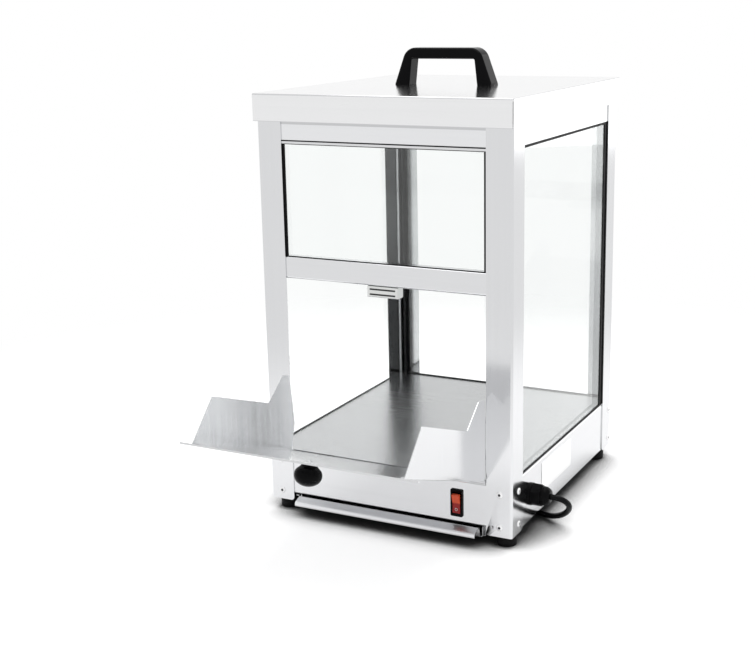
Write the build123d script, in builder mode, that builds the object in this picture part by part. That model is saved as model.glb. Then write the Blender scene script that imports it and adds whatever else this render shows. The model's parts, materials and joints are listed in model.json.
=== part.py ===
from build123d import *
import os
from math import copysign, cos, pi, radians, sin, sqrt, tan

# Countertop chip warmer: a folded stainless cabinet with glass walls, a lift-off lid with a
# bridge handle, a tip-out chute door, a heated deck and a pull-out crumb tray.
# Millimetres. +Z is up, the front faces -Y, and the origin is on the tabletop under the
# middle of the cabinet.

os.makedirs("parts", exist_ok=True)

# ------------------------------------------------------------------ driving sizes: cabinet
body_width = 322.0
body_depth = 360.0
foot_height = 15.0
post_height = 498.5
post_sheet = 1.2
panel_sheet = 1.0
bend = 1.6                    # inside radius of every sheet fold
front_flange = 32.0           # corner post, seen from the front and the back
side_flange = 33.0            # corner post, seen from the side
base_height = 66.8            # deck surface above the bottom of the posts
deck_sheet = 1.2
panel_lip = 14.0              # inward top flange of panels and rails
floor_lip = 28.0              # inward bottom flange of the side panels, over the feet
back_lip = 10.0
tray_mouth = 9.0              # slot under the front panel that the crumb tray slides through
top_rail_height = 52.0
mid_rail_height = 26.5
mid_rail_rise = 282.0         # underside of the middle rail above the bottom of the posts
fit_gap = 0.3                 # rest clearance between pieces that move apart
corner_gap = 2.0              # panels stop this short of the fold inside a post
flange_gap = 0.5              # between neighbouring inward flanges
post_corner_radius = 4.0

# ------------------------------------------------------------------ driving sizes: glazing
glass_sheet = 4.0
seal_sheet = 1.2              # rubber between the glass and the sheet metal outside it
pane_tuck = 8.0               # glass that reaches up behind a top rail
end_pane_inset = 12.0         # front and back panes reach behind the posts, this far from the sides
front_window_inset = 35.0     # inner edge of the rubber that frames each pane
front_window_drop = 5.2       # rubber that shows under the top rail
front_window_rise = 0.8
back_window_inset = 16.0
side_pane_front_inset = 22.0  # side panes, from the front and the back of the cabinet
side_pane_rear_inset = 9.0
side_window_front_inset = 35.0
side_window_rear_inset = 41.0
window_rise = 1.6             # rubber that shows above the deck
window_drop = 3.4             # rubber that shows under the top rail
trim_height = 2.6
trim_drop = 1.6               # trim strip below the top rail

# ------------------------------------------------------------------ driving sizes: lid
lid_sheet = 1.2
lid_side_overhang = 2.5
lid_end_overhang = 6.5
lid_skirt = 32.0
lid_seam = 0.6                # open joint between the skirts at each corner
handle_base_half = 64.0
handle_top_half = 48.8
handle_height = 45.0
handle_bar = 13.5
handle_inner_base_half = 45.5
handle_inner_top_half = 42.0
handle_depth = 25.0
handle_edge = 3.5
handle_outer_round = 17.0
handle_inner_round = 2.0
handle_screw_pitch = 108.0
handle_screw_radius = 2.5
handle_screw_length = 16.0
handle_head_radius = 5.0
handle_head_height = 3.2
screw_clearance = 0.1

# ------------------------------------------------------------------ driving sizes: chute door
door_tilt = 19.8              # rest slope of the open chute above the horizontal
door_side_gap = 0.5           # between the door and the posts
door_sheet = 1.0
barrel_radius = 1.8
rod_radius = 0.8
rod_clearance = 0.05
door_face_gap = 0.3
strap_pitch = 164.0
strap_width = 18.5
strap_gap = 0.5
strap_leaf = 6.0
stop_tail = 5.0
hem_width = 3.0
ear_reach = 15.5              # the hem reaches this far past the cheeks, over the posts
cheek_rear = [(2.6, 0), (5.2, 33), (20.5, 64), (36, 90), (50, 88), (72, 53.5)]
cheek_front = [(25.0, 53.5), (0.6, 0)]   # measured back from the lip of the plate
cheek_round = 2.0
cheek_foot = 8.0
knob_inset = 35.0             # knob centre from the lip of the plate
knob_radius = 15.4
knob_height = 26.0
knob_neck = 8.6
knob_waist = 2.5              # length of the straight neck
knob_equator = 13.0           # height of the widest ring
knob_shoulder = (11.0, 22.3)  # radius and height where the crown starts
knob_screw_radius = 2.0
knob_screw_length = 14.0
knob_head_radius = 3.8
knob_head_height = 2.0

# ------------------------------------------------------------------ driving sizes: magnet catch
catch_width = 39.0
catch_height = 13.0
catch_depth = 14.0
pole_sheet = 2.0
pole_pitch = 6.0
pole_inset = 3.0
catch_face_gap = 0.4

# ------------------------------------------------------------------ driving sizes: base fittings
rivet_head_radius = 4.0
rivet_head_height = 1.3
rivet_shank_radius = 1.6
rivet_bore_radius = 1.0
rivet_tail_radius = 2.4
rivet_tail_height = 1.5
front_rivet_inset = 15.5
side_rivet_front_inset = 20.7
side_rivet_rear_inset = 8.0
rivet_upper = 51.5
rivet_lower = 11.5
foot_radius = 11.7
foot_top_radius = 12.3
foot_side_inset = 14.5
foot_end_inset = 20.0
foot_screw_radius = 2.0
foot_bore_radius = 5.0
foot_recess = 10.0
foot_screw_head_radius = 3.8
foot_screw_head_height = 2.6
foot_screw_length = 11.5
foot_nut_height = 3.2
foot_nut_width = 7.0
bottom_plate_rise = 11.0      # closing plate of the electrical space above the bottom of the posts
bottom_plate_side = 8.0
bottom_plate_front_inset = 25.0
bottom_plate_rear_inset = 15.0
tray_side_inset = 38.5
tray_depth = 287.0
tray_sheet = 0.8
tray_drop = 6.0               # the pan hangs a little below the bottom of the posts
tray_wall = 12.5
tray_lean = 3.0               # forward lean of the tray's front wall
tray_lip_reach = 12.5
tray_lip_drop = 4.5
tray_hem = 4.0
tray_lip_gap = 1.3            # under the front panel
runner_sheet = 1.0
runner_foot = 7.0
runner_flange = 8.0
runner_gap = 0.3              # under the tray
runner_side_gap = 0.5
runner_length = 270.0

# ------------------------------------------------------------------ driving sizes: electrics
heater_side_margin = 36.0     # heater to the sides of the cabinet
heater_end_margin = 55.0
heater_sheet = 2.5
heater_corner = 6.0
insulation = 10.0
cover_sheet = 0.8
cover_lip = 10.0
cover_stud_radius = 2.0
cover_stud_length = 6.0
cover_nut_height = 3.2
cover_nut_width = 7.0
cover_stud_pitch = 140.0
thermostat_x = 60.0
thermostat_y = 40.0
thermostat_radius = 8.5
thermostat_height = 8.0
thermostat_ear = 24.0
switch_inset = 69.15          # middle of the switch from the right side
switch_rise = 33.3
bezel_width = 15.3
bezel_height = 33.4
bezel_sheet = 1.8
switch_body_width = 13.2
switch_body_height = 28.6
switch_body_depth = 20.0
rocker_width = 9.4
rocker_side_gap = 0.3
rocker_window_height = 25.4
rocker_pocket_depth = 10.0
rocker_throw = 8.0            # lean either side of upright, degrees
rocker_profile = [(4.8, 0.0), (6.4, 11.6), (1.0, 11.0), (-4.0, 6.0)]
rocker_pin_radius = 1.2
rocker_pin_reach = 0.9
rocker_pin_clearance = 0.05
pivot_depth = 2.4
tab_width = 6.3
tab_sheet = 0.8
tab_length = 8.0
tab_pitch = 8.0
gland_inset = 62.0            # middle of the gland from the front
gland_rise = 33.5
gland_radius = 13.5
gland_flange = 3.0
gland_hex_width = 24.0
gland_hex_length = 12.0
gland_cap_radius = 11.5
gland_cap_length = 10.0
gland_tip_radius = 6.8
gland_thread_radius = 9.0
gland_thread_length = 8.0
gland_nut_width = 25.0
gland_nut_height = 5.0
block_width = 34.0
block_depth = 18.0
block_height = 14.0
block_side_inset = 43.0
block_front_inset = 113.0
tail_run = 24.0               # the mains tail turns this far short of the terminal block
tail_sweep = 20.0
tail_bend = 14.0
wire_radius = 1.5
wire_bend = 8.0
wire_run = 18.0               # first straight run of a wire off its terminal
wire_stagger = 4.0            # between wires that run beside each other
feed_offset = 9.0             # supply wire, from the middle of the terminal block
thermostat_run = 60.0
heater_wires = [(4.0, 10.0), (11.0, 28.0)]   # offset at the block, and Y where each joins the heater
heater_wire_inset = 20.0
heater_wire_run = 26.0
cord_diameter = 7.0
cord_share = 0.45             # of the shorter run, taken up by each bend
coil_centre = (20.0, 235.0)
coil_radius = 38.0            # middle of the coil
coil_band = 16.0
coil_height = 14.5
coil_turns = 4.0
plug_length = 40.0
plug_width = 26.0
plug_height = 20.0
plug_corner = 6.0
plug_pin_radius = 2.4
plug_pin_length = 19.0
plug_pin_pitch = 13.0
plug_sleeve_length = 14.0
plug_sleeve_radius = 6.5
plug_sleeve_tip_radius = 4.8

# ------------------------------------------------------------------ places worked out from them
half_width = body_width / 2
half_depth = body_depth / 2
post_bottom = foot_height
post_top = post_bottom + post_height
panel_x = half_width - post_sheet          # panels and rails lie against the inside of the posts
panel_y = half_depth - post_sheet
base_top = post_bottom + base_height
panel_top = base_top - deck_sheet
rail_bottom = post_top - top_rail_height
mid_bottom = post_bottom + mid_rail_rise
mid_top = mid_bottom + mid_rail_height
front_opening_half = half_width - front_flange
tray_half_width = half_width - tray_side_inset
heater_width = 2 * (half_width - heater_side_margin)
heater_depth = 2 * (half_depth - heater_end_margin)
switch_x = half_width - switch_inset
gland_y = -half_depth + gland_inset
block_x = half_width - block_side_inset
block_y = -half_depth + block_front_inset
tray_slot_top = post_bottom + tray_mouth
lid_bottom = post_top + fit_gap
lid_top = lid_bottom + lid_sheet
hinge_y = -(half_depth + door_face_gap + barrel_radius)
hinge_z = base_top - barrel_radius
plate_length = mid_bottom - hinge_z        # the closed door reaches up to the middle rail
plate_half = front_opening_half - door_side_gap
knob_reach = plate_length - knob_inset
walls = {
    "front": Vector(0, -1, 0),
    "back": Vector(0, 1, 0),
    "left": Vector(-1, 0, 0),
    "right": Vector(1, 0, 0),
}
corners = {
    "post_front_left": (-1, -1),
    "post_front_right": (1, -1),
    "post_back_left": (-1, 1),
    "post_back_right": (1, 1),
}


def wall_plane(side, height=0.0, inset=0.0):
    """Sketch plane across one wall: local x points into the cabinet, local y up."""
    outward = walls[side]
    distance = (panel_x if outward.X else panel_y) - inset
    base = outward * distance
    inward = outward * -1
    return Plane(origin=(base.X, base.Y, height), x_dir=inward, z_dir=inward.cross(Vector(0, 0, 1)))


def turned(points, crown=None):
    """Solid turned about Z from its half section, (radius, height) points closed by a line or an arc."""
    with BuildPart() as blank:
        with BuildSketch(Plane.XZ):
            with BuildLine():
                Polyline(*points)
                if crown:
                    ThreePointArc(points[-1], crown, points[0])
                else:
                    Line(points[-1], points[0])
            make_face()
        revolve(axis=Axis.Z)
    return blank.part


def dome_middle(rim, top):
    """Middle of the section of a spherical cap, from its rim to its top on the axis."""
    rise = top[1] - rim[1]
    sphere = (rim[0] ** 2 + rise**2) / (2 * rise)
    return (rim[0] / 2, top[1] - sphere + copysign(sqrt(sphere**2 - rim[0] ** 2 / 4), rise))


def hex_nut(across_flats, bore_radius, height):
    """Hexagon nut standing on its plane."""
    with BuildPart() as nut:
        with BuildSketch():
            RegularPolygon(across_flats / 2, 6, major_radius=False)
            Circle(bore_radius, mode=Mode.SUBTRACT)
        extrude(amount=height)
    return nut.part


def folded_section(points, sheet):
    """Section of folded sheet, given the outside of its folds with the metal on the right."""
    with BuildSketch() as section:
        with BuildLine():
            FilletPolyline(*points, radius=bend + sheet)
            offset(amount=sheet, side=Side.RIGHT)
        make_face()
    return section.sketch


def facing_plane(side, inset):
    """Sketch plane along one wall, seen from outside: local x to the right, local y up."""
    outward = walls[side]
    base = outward * ((panel_x if outward.X else panel_y) - inset)
    return Plane(origin=(base.X, base.Y, 0), x_dir=Vector(0, 0, 1).cross(outward), z_dir=outward)


def rivet_planes(side=None, sx=0, sy=0):
    """Planes on the outside of the posts at the blind rivets, each facing outwards."""
    planes = []
    for end_x in (-1, 1):
        for end_y in (-1, 1):
            if (sx and end_x != sx) or (sy and end_y != sy):
                continue
            inset = side_rivet_front_inset if end_y < 0 else side_rivet_rear_inset
            for rise in (rivet_lower, rivet_upper):
                height = post_bottom + rise
                across = end_x * (half_width - front_rivet_inset)
                along = end_y * (half_depth - inset)
                face = "front" if end_y < 0 else "back"
                if side in (None, face):
                    planes.append(Plane(origin=(across, end_y * half_depth, height), z_dir=(0, end_y, 0)))
                face = "left" if end_x < 0 else "right"
                if side in (None, face):
                    planes.append(Plane(origin=(end_x * half_width, along, height), z_dir=(end_x, 0, 0)))
    return planes


# ------------------------------------------------------------------ corner posts
for name, (sx, sy) in corners.items():
    with BuildPart() as post:
        outline = folded_section(
            [
                (-half_width + front_flange, -half_depth),
                (-half_width, -half_depth),
                (-half_width, -half_depth + side_flange),
            ],
            post_sheet,
        )
        if sx > 0:
            outline = outline.mirror(Plane.YZ)
        if sy > 0:
            outline = outline.mirror(Plane.XZ)
        with BuildSketch(Plane.XY.offset(post_bottom)):
            add(outline)
        extrude(amount=post_height)
        for axis in (Axis.X, Axis.Y):
            short = post.edges().filter_by(axis).group_by(Axis.Z)[0]
            fillet([edge for edge in short if edge.length < 2 * post_sheet], radius=post_corner_radius)
        with Locations(*rivet_planes(sx=sx, sy=sy)):
            Cylinder(rivet_shank_radius, 4 * post_sheet, mode=Mode.SUBTRACT)
    post.part.label = name
    export_step(post.part, f"parts/{name}.step")

# ------------------------------------------------------------------ top rails
for side in walls:
    along_x = side in ("front", "back")
    half_length = (panel_x if along_x else panel_y) - corner_gap
    flange_half = half_length if along_x else panel_y - panel_lip - flange_gap
    with BuildPart() as top_rail:
        with BuildSketch(wall_plane(side, rail_bottom)):
            add(folded_section([(0, 0), (0, top_rail_height), (panel_lip, top_rail_height)], panel_sheet))
        extrude(amount=flange_half, both=True)
        with BuildSketch(wall_plane(side, rail_bottom)):
            Rectangle(panel_sheet, top_rail_height - bend - panel_sheet, align=Align.MIN)
        extrude(amount=half_length, both=True)
    top_rail.part.label = f"top_rail_{side}"
    export_step(top_rail.part, f"parts/top_rail_{side}.step")

# ------------------------------------------------------------------ middle rail and magnet catch
with BuildPart() as mid_rail:
    with BuildSketch(wall_plane("front", mid_bottom)):
        add(
            folded_section(
                [(panel_lip, 0), (0, 0), (0, mid_rail_height), (panel_lip, mid_rail_height)],
                panel_sheet,
            )
        )
    extrude(amount=panel_x - corner_gap, both=True)
mid_rail.part.label = "mid_rail"
export_step(mid_rail.part, "parts/mid_rail.step")

catch_front = -(half_depth + door_face_gap) + catch_face_gap
with BuildPart() as magnet_catch:
    with BuildSketch(Plane(origin=(0, catch_front, mid_bottom), x_dir=(0, 1, 0), z_dir=(1, 0, 0))):
        Rectangle(catch_depth, catch_height, align=(Align.MIN, Align.MAX))
    extrude(amount=catch_width / 2, both=True)
    fillet(magnet_catch.edges().filter_by(Axis.X).group_by(Axis.Z)[0], radius=1.5)
    with Locations(*[(0, catch_front, mid_bottom - catch_height / 2 + s * pole_pitch / 2) for s in (-1, 1)]):
        Box(catch_width - 2 * pole_inset, 2 * (catch_depth - pole_inset), pole_sheet, mode=Mode.SUBTRACT)
magnet_catch.part.label = "magnet_catch"
export_step(magnet_catch.part, "parts/magnet_catch.step")

with BuildPart() as catch_poles:
    with Locations(*[(0, catch_front, mid_bottom - catch_height / 2 + s * pole_pitch / 2) for s in (-1, 1)]):
        Box(
            catch_width - 2 * pole_inset,
            catch_depth - pole_inset,
            pole_sheet,
            align=(Align.CENTER, Align.MIN, Align.CENTER),
        )
catch_poles.part.label = "catch_poles"
export_step(catch_poles.part, "parts/catch_poles.step")

# ------------------------------------------------------------------ base panels
for side in walls:
    along_x = side in ("front", "back")
    half_length = (panel_x if along_x else panel_y) - corner_gap
    bottom = tray_slot_top if side == "front" else post_bottom
    height = panel_top - bottom
    bottom_lip = back_lip if along_x else floor_lip
    flange_half = half_length if along_x else panel_y - panel_lip - flange_gap
    with BuildPart() as base_panel:
        with BuildSketch(wall_plane(side, bottom)):
            add(folded_section([(bottom_lip, 0), (0, 0), (0, height), (panel_lip, height)], panel_sheet))
        extrude(amount=min(flange_half, front_opening_half) if side == "front" else flange_half, both=True)
        with BuildSketch(wall_plane(side, bottom + bend + panel_sheet)):
            reach = height - bend - panel_sheet
            add(folded_section([(0, 0), (0, reach), (panel_lip, reach)], panel_sheet))
        extrude(amount=flange_half, both=True)
        with BuildSketch(wall_plane(side, bottom + bend + panel_sheet)):
            Rectangle(panel_sheet, height - 2 * (bend + panel_sheet), align=Align.MIN)
        extrude(amount=half_length, both=True)
        with Locations(*rivet_planes(side)):
            Cylinder(rivet_shank_radius, 8 * panel_sheet, mode=Mode.SUBTRACT)
        if side == "front":
            with Locations((switch_x, -panel_y, post_bottom + switch_rise)):
                Box(switch_body_width, 4 * panel_sheet, switch_body_height, mode=Mode.SUBTRACT)
        if side == "right":
            with Locations(Plane(origin=(panel_x, gland_y, post_bottom + gland_rise), z_dir=(1, 0, 0))):
                Cylinder(gland_thread_radius, 4 * panel_sheet, mode=Mode.SUBTRACT)
        if not along_x:
            foot_x = (half_width - foot_side_inset) * (1 if side == "right" else -1)
            with Locations(*[(foot_x, s * (half_depth - foot_end_inset), post_bottom) for s in (-1, 1)]):
                Cylinder(foot_screw_radius, 4 * panel_sheet, mode=Mode.SUBTRACT)
    base_panel.part.label = f"base_panel_{side}"
    export_step(base_panel.part, f"parts/base_panel_{side}.step")

# ------------------------------------------------------------------ deck
with BuildPart() as deck:
    with BuildSketch(Plane.XY.offset(panel_top)):
        Rectangle(2 * panel_x, 2 * panel_y)
        chamfer(vertices(), length=2 * corner_gap)
    extrude(amount=deck_sheet)
deck.part.label = "deck"
export_step(deck.part, "parts/deck.step")

# ------------------------------------------------------------------ blind rivets
grip = post_sheet + panel_sheet
with BuildPart() as rivets:
    with Locations(*rivet_planes()):
        add(
            turned(
                [
                    (rivet_bore_radius, rivet_head_height),
                    (rivet_bore_radius, -grip - rivet_tail_height),
                    (rivet_tail_radius, -grip - rivet_tail_height / 2),
                    (rivet_tail_radius, -grip),
                    (rivet_shank_radius, -grip),
                    (rivet_shank_radius, 0),
                    (rivet_head_radius, 0),
                ],
                crown=((rivet_head_radius + rivet_bore_radius) * 0.6, rivet_head_height * 0.85),
            )
        )
rivets.part.label = "rivets"
export_step(rivets.part, "parts/rivets.step")

# ------------------------------------------------------------------ glass, seals and trim
end_pane_half = half_width - end_pane_inset
front_window_half = half_width - front_window_inset
back_window_half = half_width - back_window_inset
side_pane_front = half_depth - side_pane_front_inset
side_pane_rear = half_depth - side_pane_rear_inset
side_window_front = half_depth - side_window_front_inset
side_window_rear = half_depth - side_window_rear_inset
glazing = {
    "front": (
        (-end_pane_half, end_pane_half, mid_top, rail_bottom + pane_tuck),
        (-front_window_half, front_window_half, front_window_rise, front_window_drop),
    ),
    "back": (
        (-end_pane_half, end_pane_half, base_top, rail_bottom + pane_tuck),
        (-back_window_half, back_window_half, window_rise, window_drop),
    ),
    "left": (
        (-side_pane_rear, side_pane_front, base_top, rail_bottom + pane_tuck),
        (-side_window_rear, side_window_front, window_rise, window_drop),
    ),
    "right": (
        (-side_pane_front, side_pane_rear, base_top, rail_bottom + pane_tuck),
        (-side_window_front, side_window_rear, window_rise, window_drop),
    ),
}


def middle(edges):
    """Centre of a rectangle given as left, right, bottom and top."""
    return ((edges[0] + edges[1]) / 2, (edges[2] + edges[3]) / 2)


def span(edges):
    """Width and height of the same rectangle."""
    return (edges[1] - edges[0], edges[3] - edges[2])


for side, (pane, window) in glazing.items():
    sill = pane[2]
    pane_edges = (pane[0], pane[1], sill + fit_gap, pane[3])
    window_edges = (window[0], window[1], sill + window[2], rail_bottom - window[3])
    with BuildPart() as glass:
        with BuildSketch(facing_plane(side, panel_sheet + seal_sheet)):
            with Locations(middle(pane_edges)):
                Rectangle(*span(pane_edges))
        extrude(amount=-glass_sheet)
    glass.part.label = f"glass_{side}"
    export_step(glass.part, f"parts/glass_{side}.step")

    with BuildPart() as seal:
        with BuildSketch(facing_plane(side, panel_sheet)):
            with Locations(middle(pane)):
                Rectangle(*span(pane))
            with Locations(middle(window_edges)):
                Rectangle(*span(window_edges), mode=Mode.SUBTRACT)
        extrude(amount=-seal_sheet)
    seal.part.label = f"seal_{side}"
    export_step(seal.part, f"parts/seal_{side}.step")

with BuildPart() as glass_trim:
    with BuildSketch(wall_plane("front", rail_bottom - trim_drop - trim_height)):
        Rectangle(panel_sheet, trim_height, align=Align.MIN)
    extrude(amount=panel_x - corner_gap, both=True)
glass_trim.part.label = "glass_trim"
export_step(glass_trim.part, "parts/glass_trim.step")

# ------------------------------------------------------------------ lid and its handle
handle_screw_places = [(s * handle_screw_pitch / 2, 0) for s in (-1, 1)]
lid_half_width = half_width + lid_side_overhang
lid_half_depth = half_depth + lid_end_overhang
lid_corners = [
    Location((sx * lid_half_width, sy * lid_half_depth, lid_top - 2 * bend), (0, 0, -45 * sx * sy))
    for sx in (-1, 1)
    for sy in (-1, 1)
]
with BuildPart() as lid_cover:
    with BuildSketch(Plane.XY.offset(lid_top)):
        RectangleRounded(2 * lid_half_width, 2 * lid_half_depth, bend + lid_sheet)
    extrude(amount=-lid_skirt)
    fillet(lid_cover.faces().sort_by(Axis.Z)[-1].edges(), radius=bend)
    offset(amount=-lid_sheet, openings=lid_cover.faces().sort_by(Axis.Z)[0])
    with Locations(*lid_corners):
        Box(lid_seam, 6 * bend, lid_skirt, align=(Align.CENTER, Align.CENTER, Align.MAX), mode=Mode.SUBTRACT)
    with BuildSketch(Plane.XY.offset(lid_top)):
        with Locations(*handle_screw_places):
            Circle(handle_screw_radius + screw_clearance)
    extrude(amount=-2 * lid_sheet, mode=Mode.SUBTRACT)
lid_cover.part.label = "lid_cover"
export_step(lid_cover.part, "parts/lid_cover.step")

handle_plane = Plane(origin=(0, 0, lid_top), x_dir=(1, 0, 0), z_dir=(0, -1, 0))
handle_hole_depth = handle_screw_length - lid_sheet + screw_clearance
with BuildSketch() as grip_gap:
    with BuildLine():
        Polyline(
            (-handle_inner_base_half, 0),
            (-handle_inner_top_half, handle_height - handle_bar),
            (handle_inner_top_half, handle_height - handle_bar),
            (handle_inner_base_half, 0),
            close=True,
        )
    make_face()
    fillet(grip_gap.vertices().group_by(Axis.Y)[-1], radius=handle_inner_round)
with BuildPart() as lid_handle:
    with BuildSketch(handle_plane) as arch:
        with BuildLine():
            Polyline(
                (-handle_base_half, 0),
                (-handle_base_half, handle_edge),
                (-handle_top_half, handle_height),
                (handle_top_half, handle_height),
                (handle_base_half, handle_edge),
                (handle_base_half, 0),
                close=True,
            )
        make_face()
        fillet(arch.vertices().group_by(Axis.Y)[-1], radius=handle_outer_round)
        add(grip_gap.sketch, mode=Mode.SUBTRACT)
    extrude(amount=handle_depth / 2, both=True)
    rims = lid_handle.edges().filter_by(Axis.Y, reverse=True)
    fillet([edge for edge in rims if edge.center().Z > lid_top + handle_edge], radius=handle_edge)
    with BuildSketch(Plane.XY.offset(lid_top)):
        with Locations(*handle_screw_places):
            Circle(handle_screw_radius + screw_clearance)
    extrude(amount=handle_hole_depth, mode=Mode.SUBTRACT)
lid_handle.part.label = "lid_handle"
export_step(lid_handle.part, "parts/lid_handle.step")

with BuildPart() as handle_screws:
    with Locations(*[(x, y, lid_bottom) for x, y in handle_screw_places]):
        add(
            turned(
                [
                    (0, -handle_head_height),
                    (0, handle_screw_length),
                    (handle_screw_radius, handle_screw_length),
                    (handle_screw_radius, 0),
                    (handle_head_radius, 0),
                ],
                crown=dome_middle((handle_head_radius, 0), (0, -handle_head_height)),
            )
        )
handle_screws.part.label = "handle_screws"
export_step(handle_screws.part, "parts/handle_screws.step")

# ------------------------------------------------------------------ chute door
tilt = radians(door_tilt)
outward_along_plate = Vector(0, -cos(tilt), sin(tilt))
chute_plane = Plane(origin=(0, hinge_y, hinge_z), x_dir=outward_along_plate, z_dir=(-1, 0, 0))
plate_face = barrel_radius                 # inner face of the plate from the hinge axis
plate_back = barrel_radius - door_sheet
strap_places = [(s * strap_pitch / 2, hinge_y, hinge_z) for s in (-1, 1)]
cheek_points = cheek_rear + [(plate_length - back, rise) for back, rise in cheek_front]

with BuildPart() as chute_plate:
    with BuildSketch(chute_plane):
        Circle(barrel_radius)
        with Locations((0, plate_back)):
            Rectangle(plate_length, door_sheet, align=Align.MIN)
    extrude(amount=plate_half, both=True)
    with BuildSketch(chute_plane):
        with Locations((plate_length - hem_width, plate_back - door_sheet)):
            Rectangle(hem_width, 2 * door_sheet, align=Align.MIN)
    extrude(amount=plate_half + ear_reach, both=True)
    with BuildSketch(Plane.YZ):
        heel = -panel_y - fit_gap
        with BuildLine():
            Polyline(
                (hinge_y + barrel_radius - door_sheet, hinge_z),
                (hinge_y + barrel_radius, hinge_z),
                (heel, hinge_z - stop_tail),
                (heel - door_sheet, hinge_z - stop_tail),
                close=True,
            )
        make_face()
    extrude(amount=plate_half, both=True)
    with BuildSketch(chute_plane):
        Circle(rod_radius + rod_clearance)
    extrude(amount=plate_half + ear_reach, both=True, mode=Mode.SUBTRACT)
    with Locations(*strap_places):
        Box(strap_width + 2 * strap_gap, 3.6 * barrel_radius, 4 * stop_tail, mode=Mode.SUBTRACT)
    knob_seat = chute_plane.from_local_coords((knob_reach, plate_back, 0))
    with Locations(Plane(origin=knob_seat, z_dir=chute_plane.y_dir)):
        Cylinder(knob_screw_radius + screw_clearance, 4 * door_sheet, mode=Mode.SUBTRACT)
chute_plate.part.label = "chute_plate"
export_step(chute_plate.part, "parts/chute_plate.step")

for name, sx in (("chute_cheek_left", -1), ("chute_cheek_right", 1)):
    with BuildPart() as cheek:
        with BuildSketch(chute_plane.offset(-sx * plate_half)) as outline:
            with BuildLine():
                Polyline(*[(reach, rise + plate_face) for reach, rise in cheek_points], close=True)
            make_face()
            fillet(outline.vertices().group_by(Axis.Y)[1:], radius=cheek_round)
        extrude(amount=sx * door_sheet)
        with BuildSketch(chute_plane.offset(-sx * (plate_half - cheek_foot))):
            with Locations((cheek_foot, plate_face)):
                Rectangle(plate_length - 2 * cheek_foot, door_sheet, align=Align.MIN)
        extrude(amount=-sx * cheek_foot)
    cheek.part.label = name
    export_step(cheek.part, f"parts/{name}.step")

knob_axis = Vector(0, 0, 0) - chute_plane.y_dir
with BuildPart() as knob_blank:
    with BuildSketch(Plane.XZ):
        with BuildLine():
            Polyline((0, knob_height), (0, 0), (knob_neck, 0), (knob_neck, knob_waist))
            ThreePointArc(
                (knob_neck, knob_waist),
                (0.87 * knob_radius, 0.27 * knob_height),
                (knob_radius, knob_equator),
            )
            ThreePointArc((knob_radius, knob_equator), (0.92 * knob_radius, 0.71 * knob_height), knob_shoulder)
            ThreePointArc(knob_shoulder, dome_middle(knob_shoulder, (0, knob_height)), (0, knob_height))
        make_face()
    revolve(axis=Axis.Z)
    with BuildSketch():
        Circle(knob_screw_radius + screw_clearance)
    extrude(amount=knob_screw_length - door_sheet + screw_clearance, mode=Mode.SUBTRACT)
with BuildPart() as door_knob:
    with Locations(Plane(origin=knob_seat, z_dir=knob_axis)):
        add(knob_blank.part)
door_knob.part.label = "door_knob"
export_step(door_knob.part, "parts/door_knob.step")

with BuildPart() as knob_screw:
    with Locations(Plane(origin=chute_plane.from_local_coords((knob_reach, plate_face, 0)), z_dir=knob_axis)):
        add(
            turned(
                [
                    (0, -knob_head_height),
                    (0, knob_screw_length),
                    (knob_screw_radius, knob_screw_length),
                    (knob_screw_radius, 0),
                    (knob_head_radius, 0),
                ],
                crown=dome_middle((knob_head_radius, 0), (0, -knob_head_height)),
            )
        )
knob_screw.part.label = "knob_screw"
export_step(knob_screw.part, "parts/knob_screw.step")

# ------------------------------------------------------------------ door hinge, held by the base
strap_planes = [Plane.YZ.offset(s * strap_pitch / 2) for s in (-1, 1)]
with BuildPart() as hinge_straps:
    with BuildSketch(*strap_planes):
        with Locations((hinge_y, hinge_z)):
            Circle(barrel_radius)
        with Locations((hinge_y, base_top - door_sheet)):
            Rectangle(-panel_y - hinge_y, door_sheet, align=Align.MIN)
        with Locations((-panel_y, base_top)):
            Rectangle(door_sheet, strap_leaf, align=Align.MAX)
        with Locations((hinge_y, hinge_z)):
            Circle(rod_radius, mode=Mode.SUBTRACT)
    extrude(amount=strap_width / 2, both=True)
hinge_straps.part.label = "hinge_straps"
export_step(hinge_straps.part, "parts/hinge_straps.step")

with BuildPart() as hinge_rod:
    with BuildSketch(Plane.YZ):
        with Locations((hinge_y, hinge_z)):
            Circle(rod_radius)
    extrude(amount=plate_half, both=True)
hinge_rod.part.label = "hinge_rod"
export_step(hinge_rod.part, "parts/hinge_rod.step")

# ------------------------------------------------------------------ feet
foot_places = [
    (sx * (half_width - foot_side_inset), sy * (half_depth - foot_end_inset))
    for sx in (-1, 1)
    for sy in (-1, 1)
]
with BuildPart() as feet:
    with Locations(*[(x, y, 0) for x, y in foot_places]):
        add(
            turned(
                [
                    (foot_bore_radius, 0),
                    (foot_radius, 0),
                    (foot_top_radius, foot_height),
                    (foot_screw_radius, foot_height),
                    (foot_screw_radius, foot_recess),
                    (foot_bore_radius, foot_recess),
                ]
            )
        )
feet.part.label = "feet"
export_step(feet.part, "parts/feet.step")

with BuildPart() as foot_fixings:
    with Locations(*[(x, y, foot_recess) for x, y in foot_places]):
        add(
            turned(
                [
                    (0, -foot_screw_head_height),
                    (0, foot_screw_length),
                    (foot_screw_radius, foot_screw_length),
                    (foot_screw_radius, 0),
                    (foot_screw_head_radius, 0),
                    (foot_screw_head_radius, -foot_screw_head_height),
                ]
            )
        )
    with Locations(*[(x, y, post_bottom + panel_sheet) for x, y in foot_places]):
        add(hex_nut(foot_nut_width, foot_screw_radius, foot_nut_height))
foot_fixings.part.label = "foot_fixings"
export_step(foot_fixings.part, "parts/foot_fixings.step")

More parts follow.
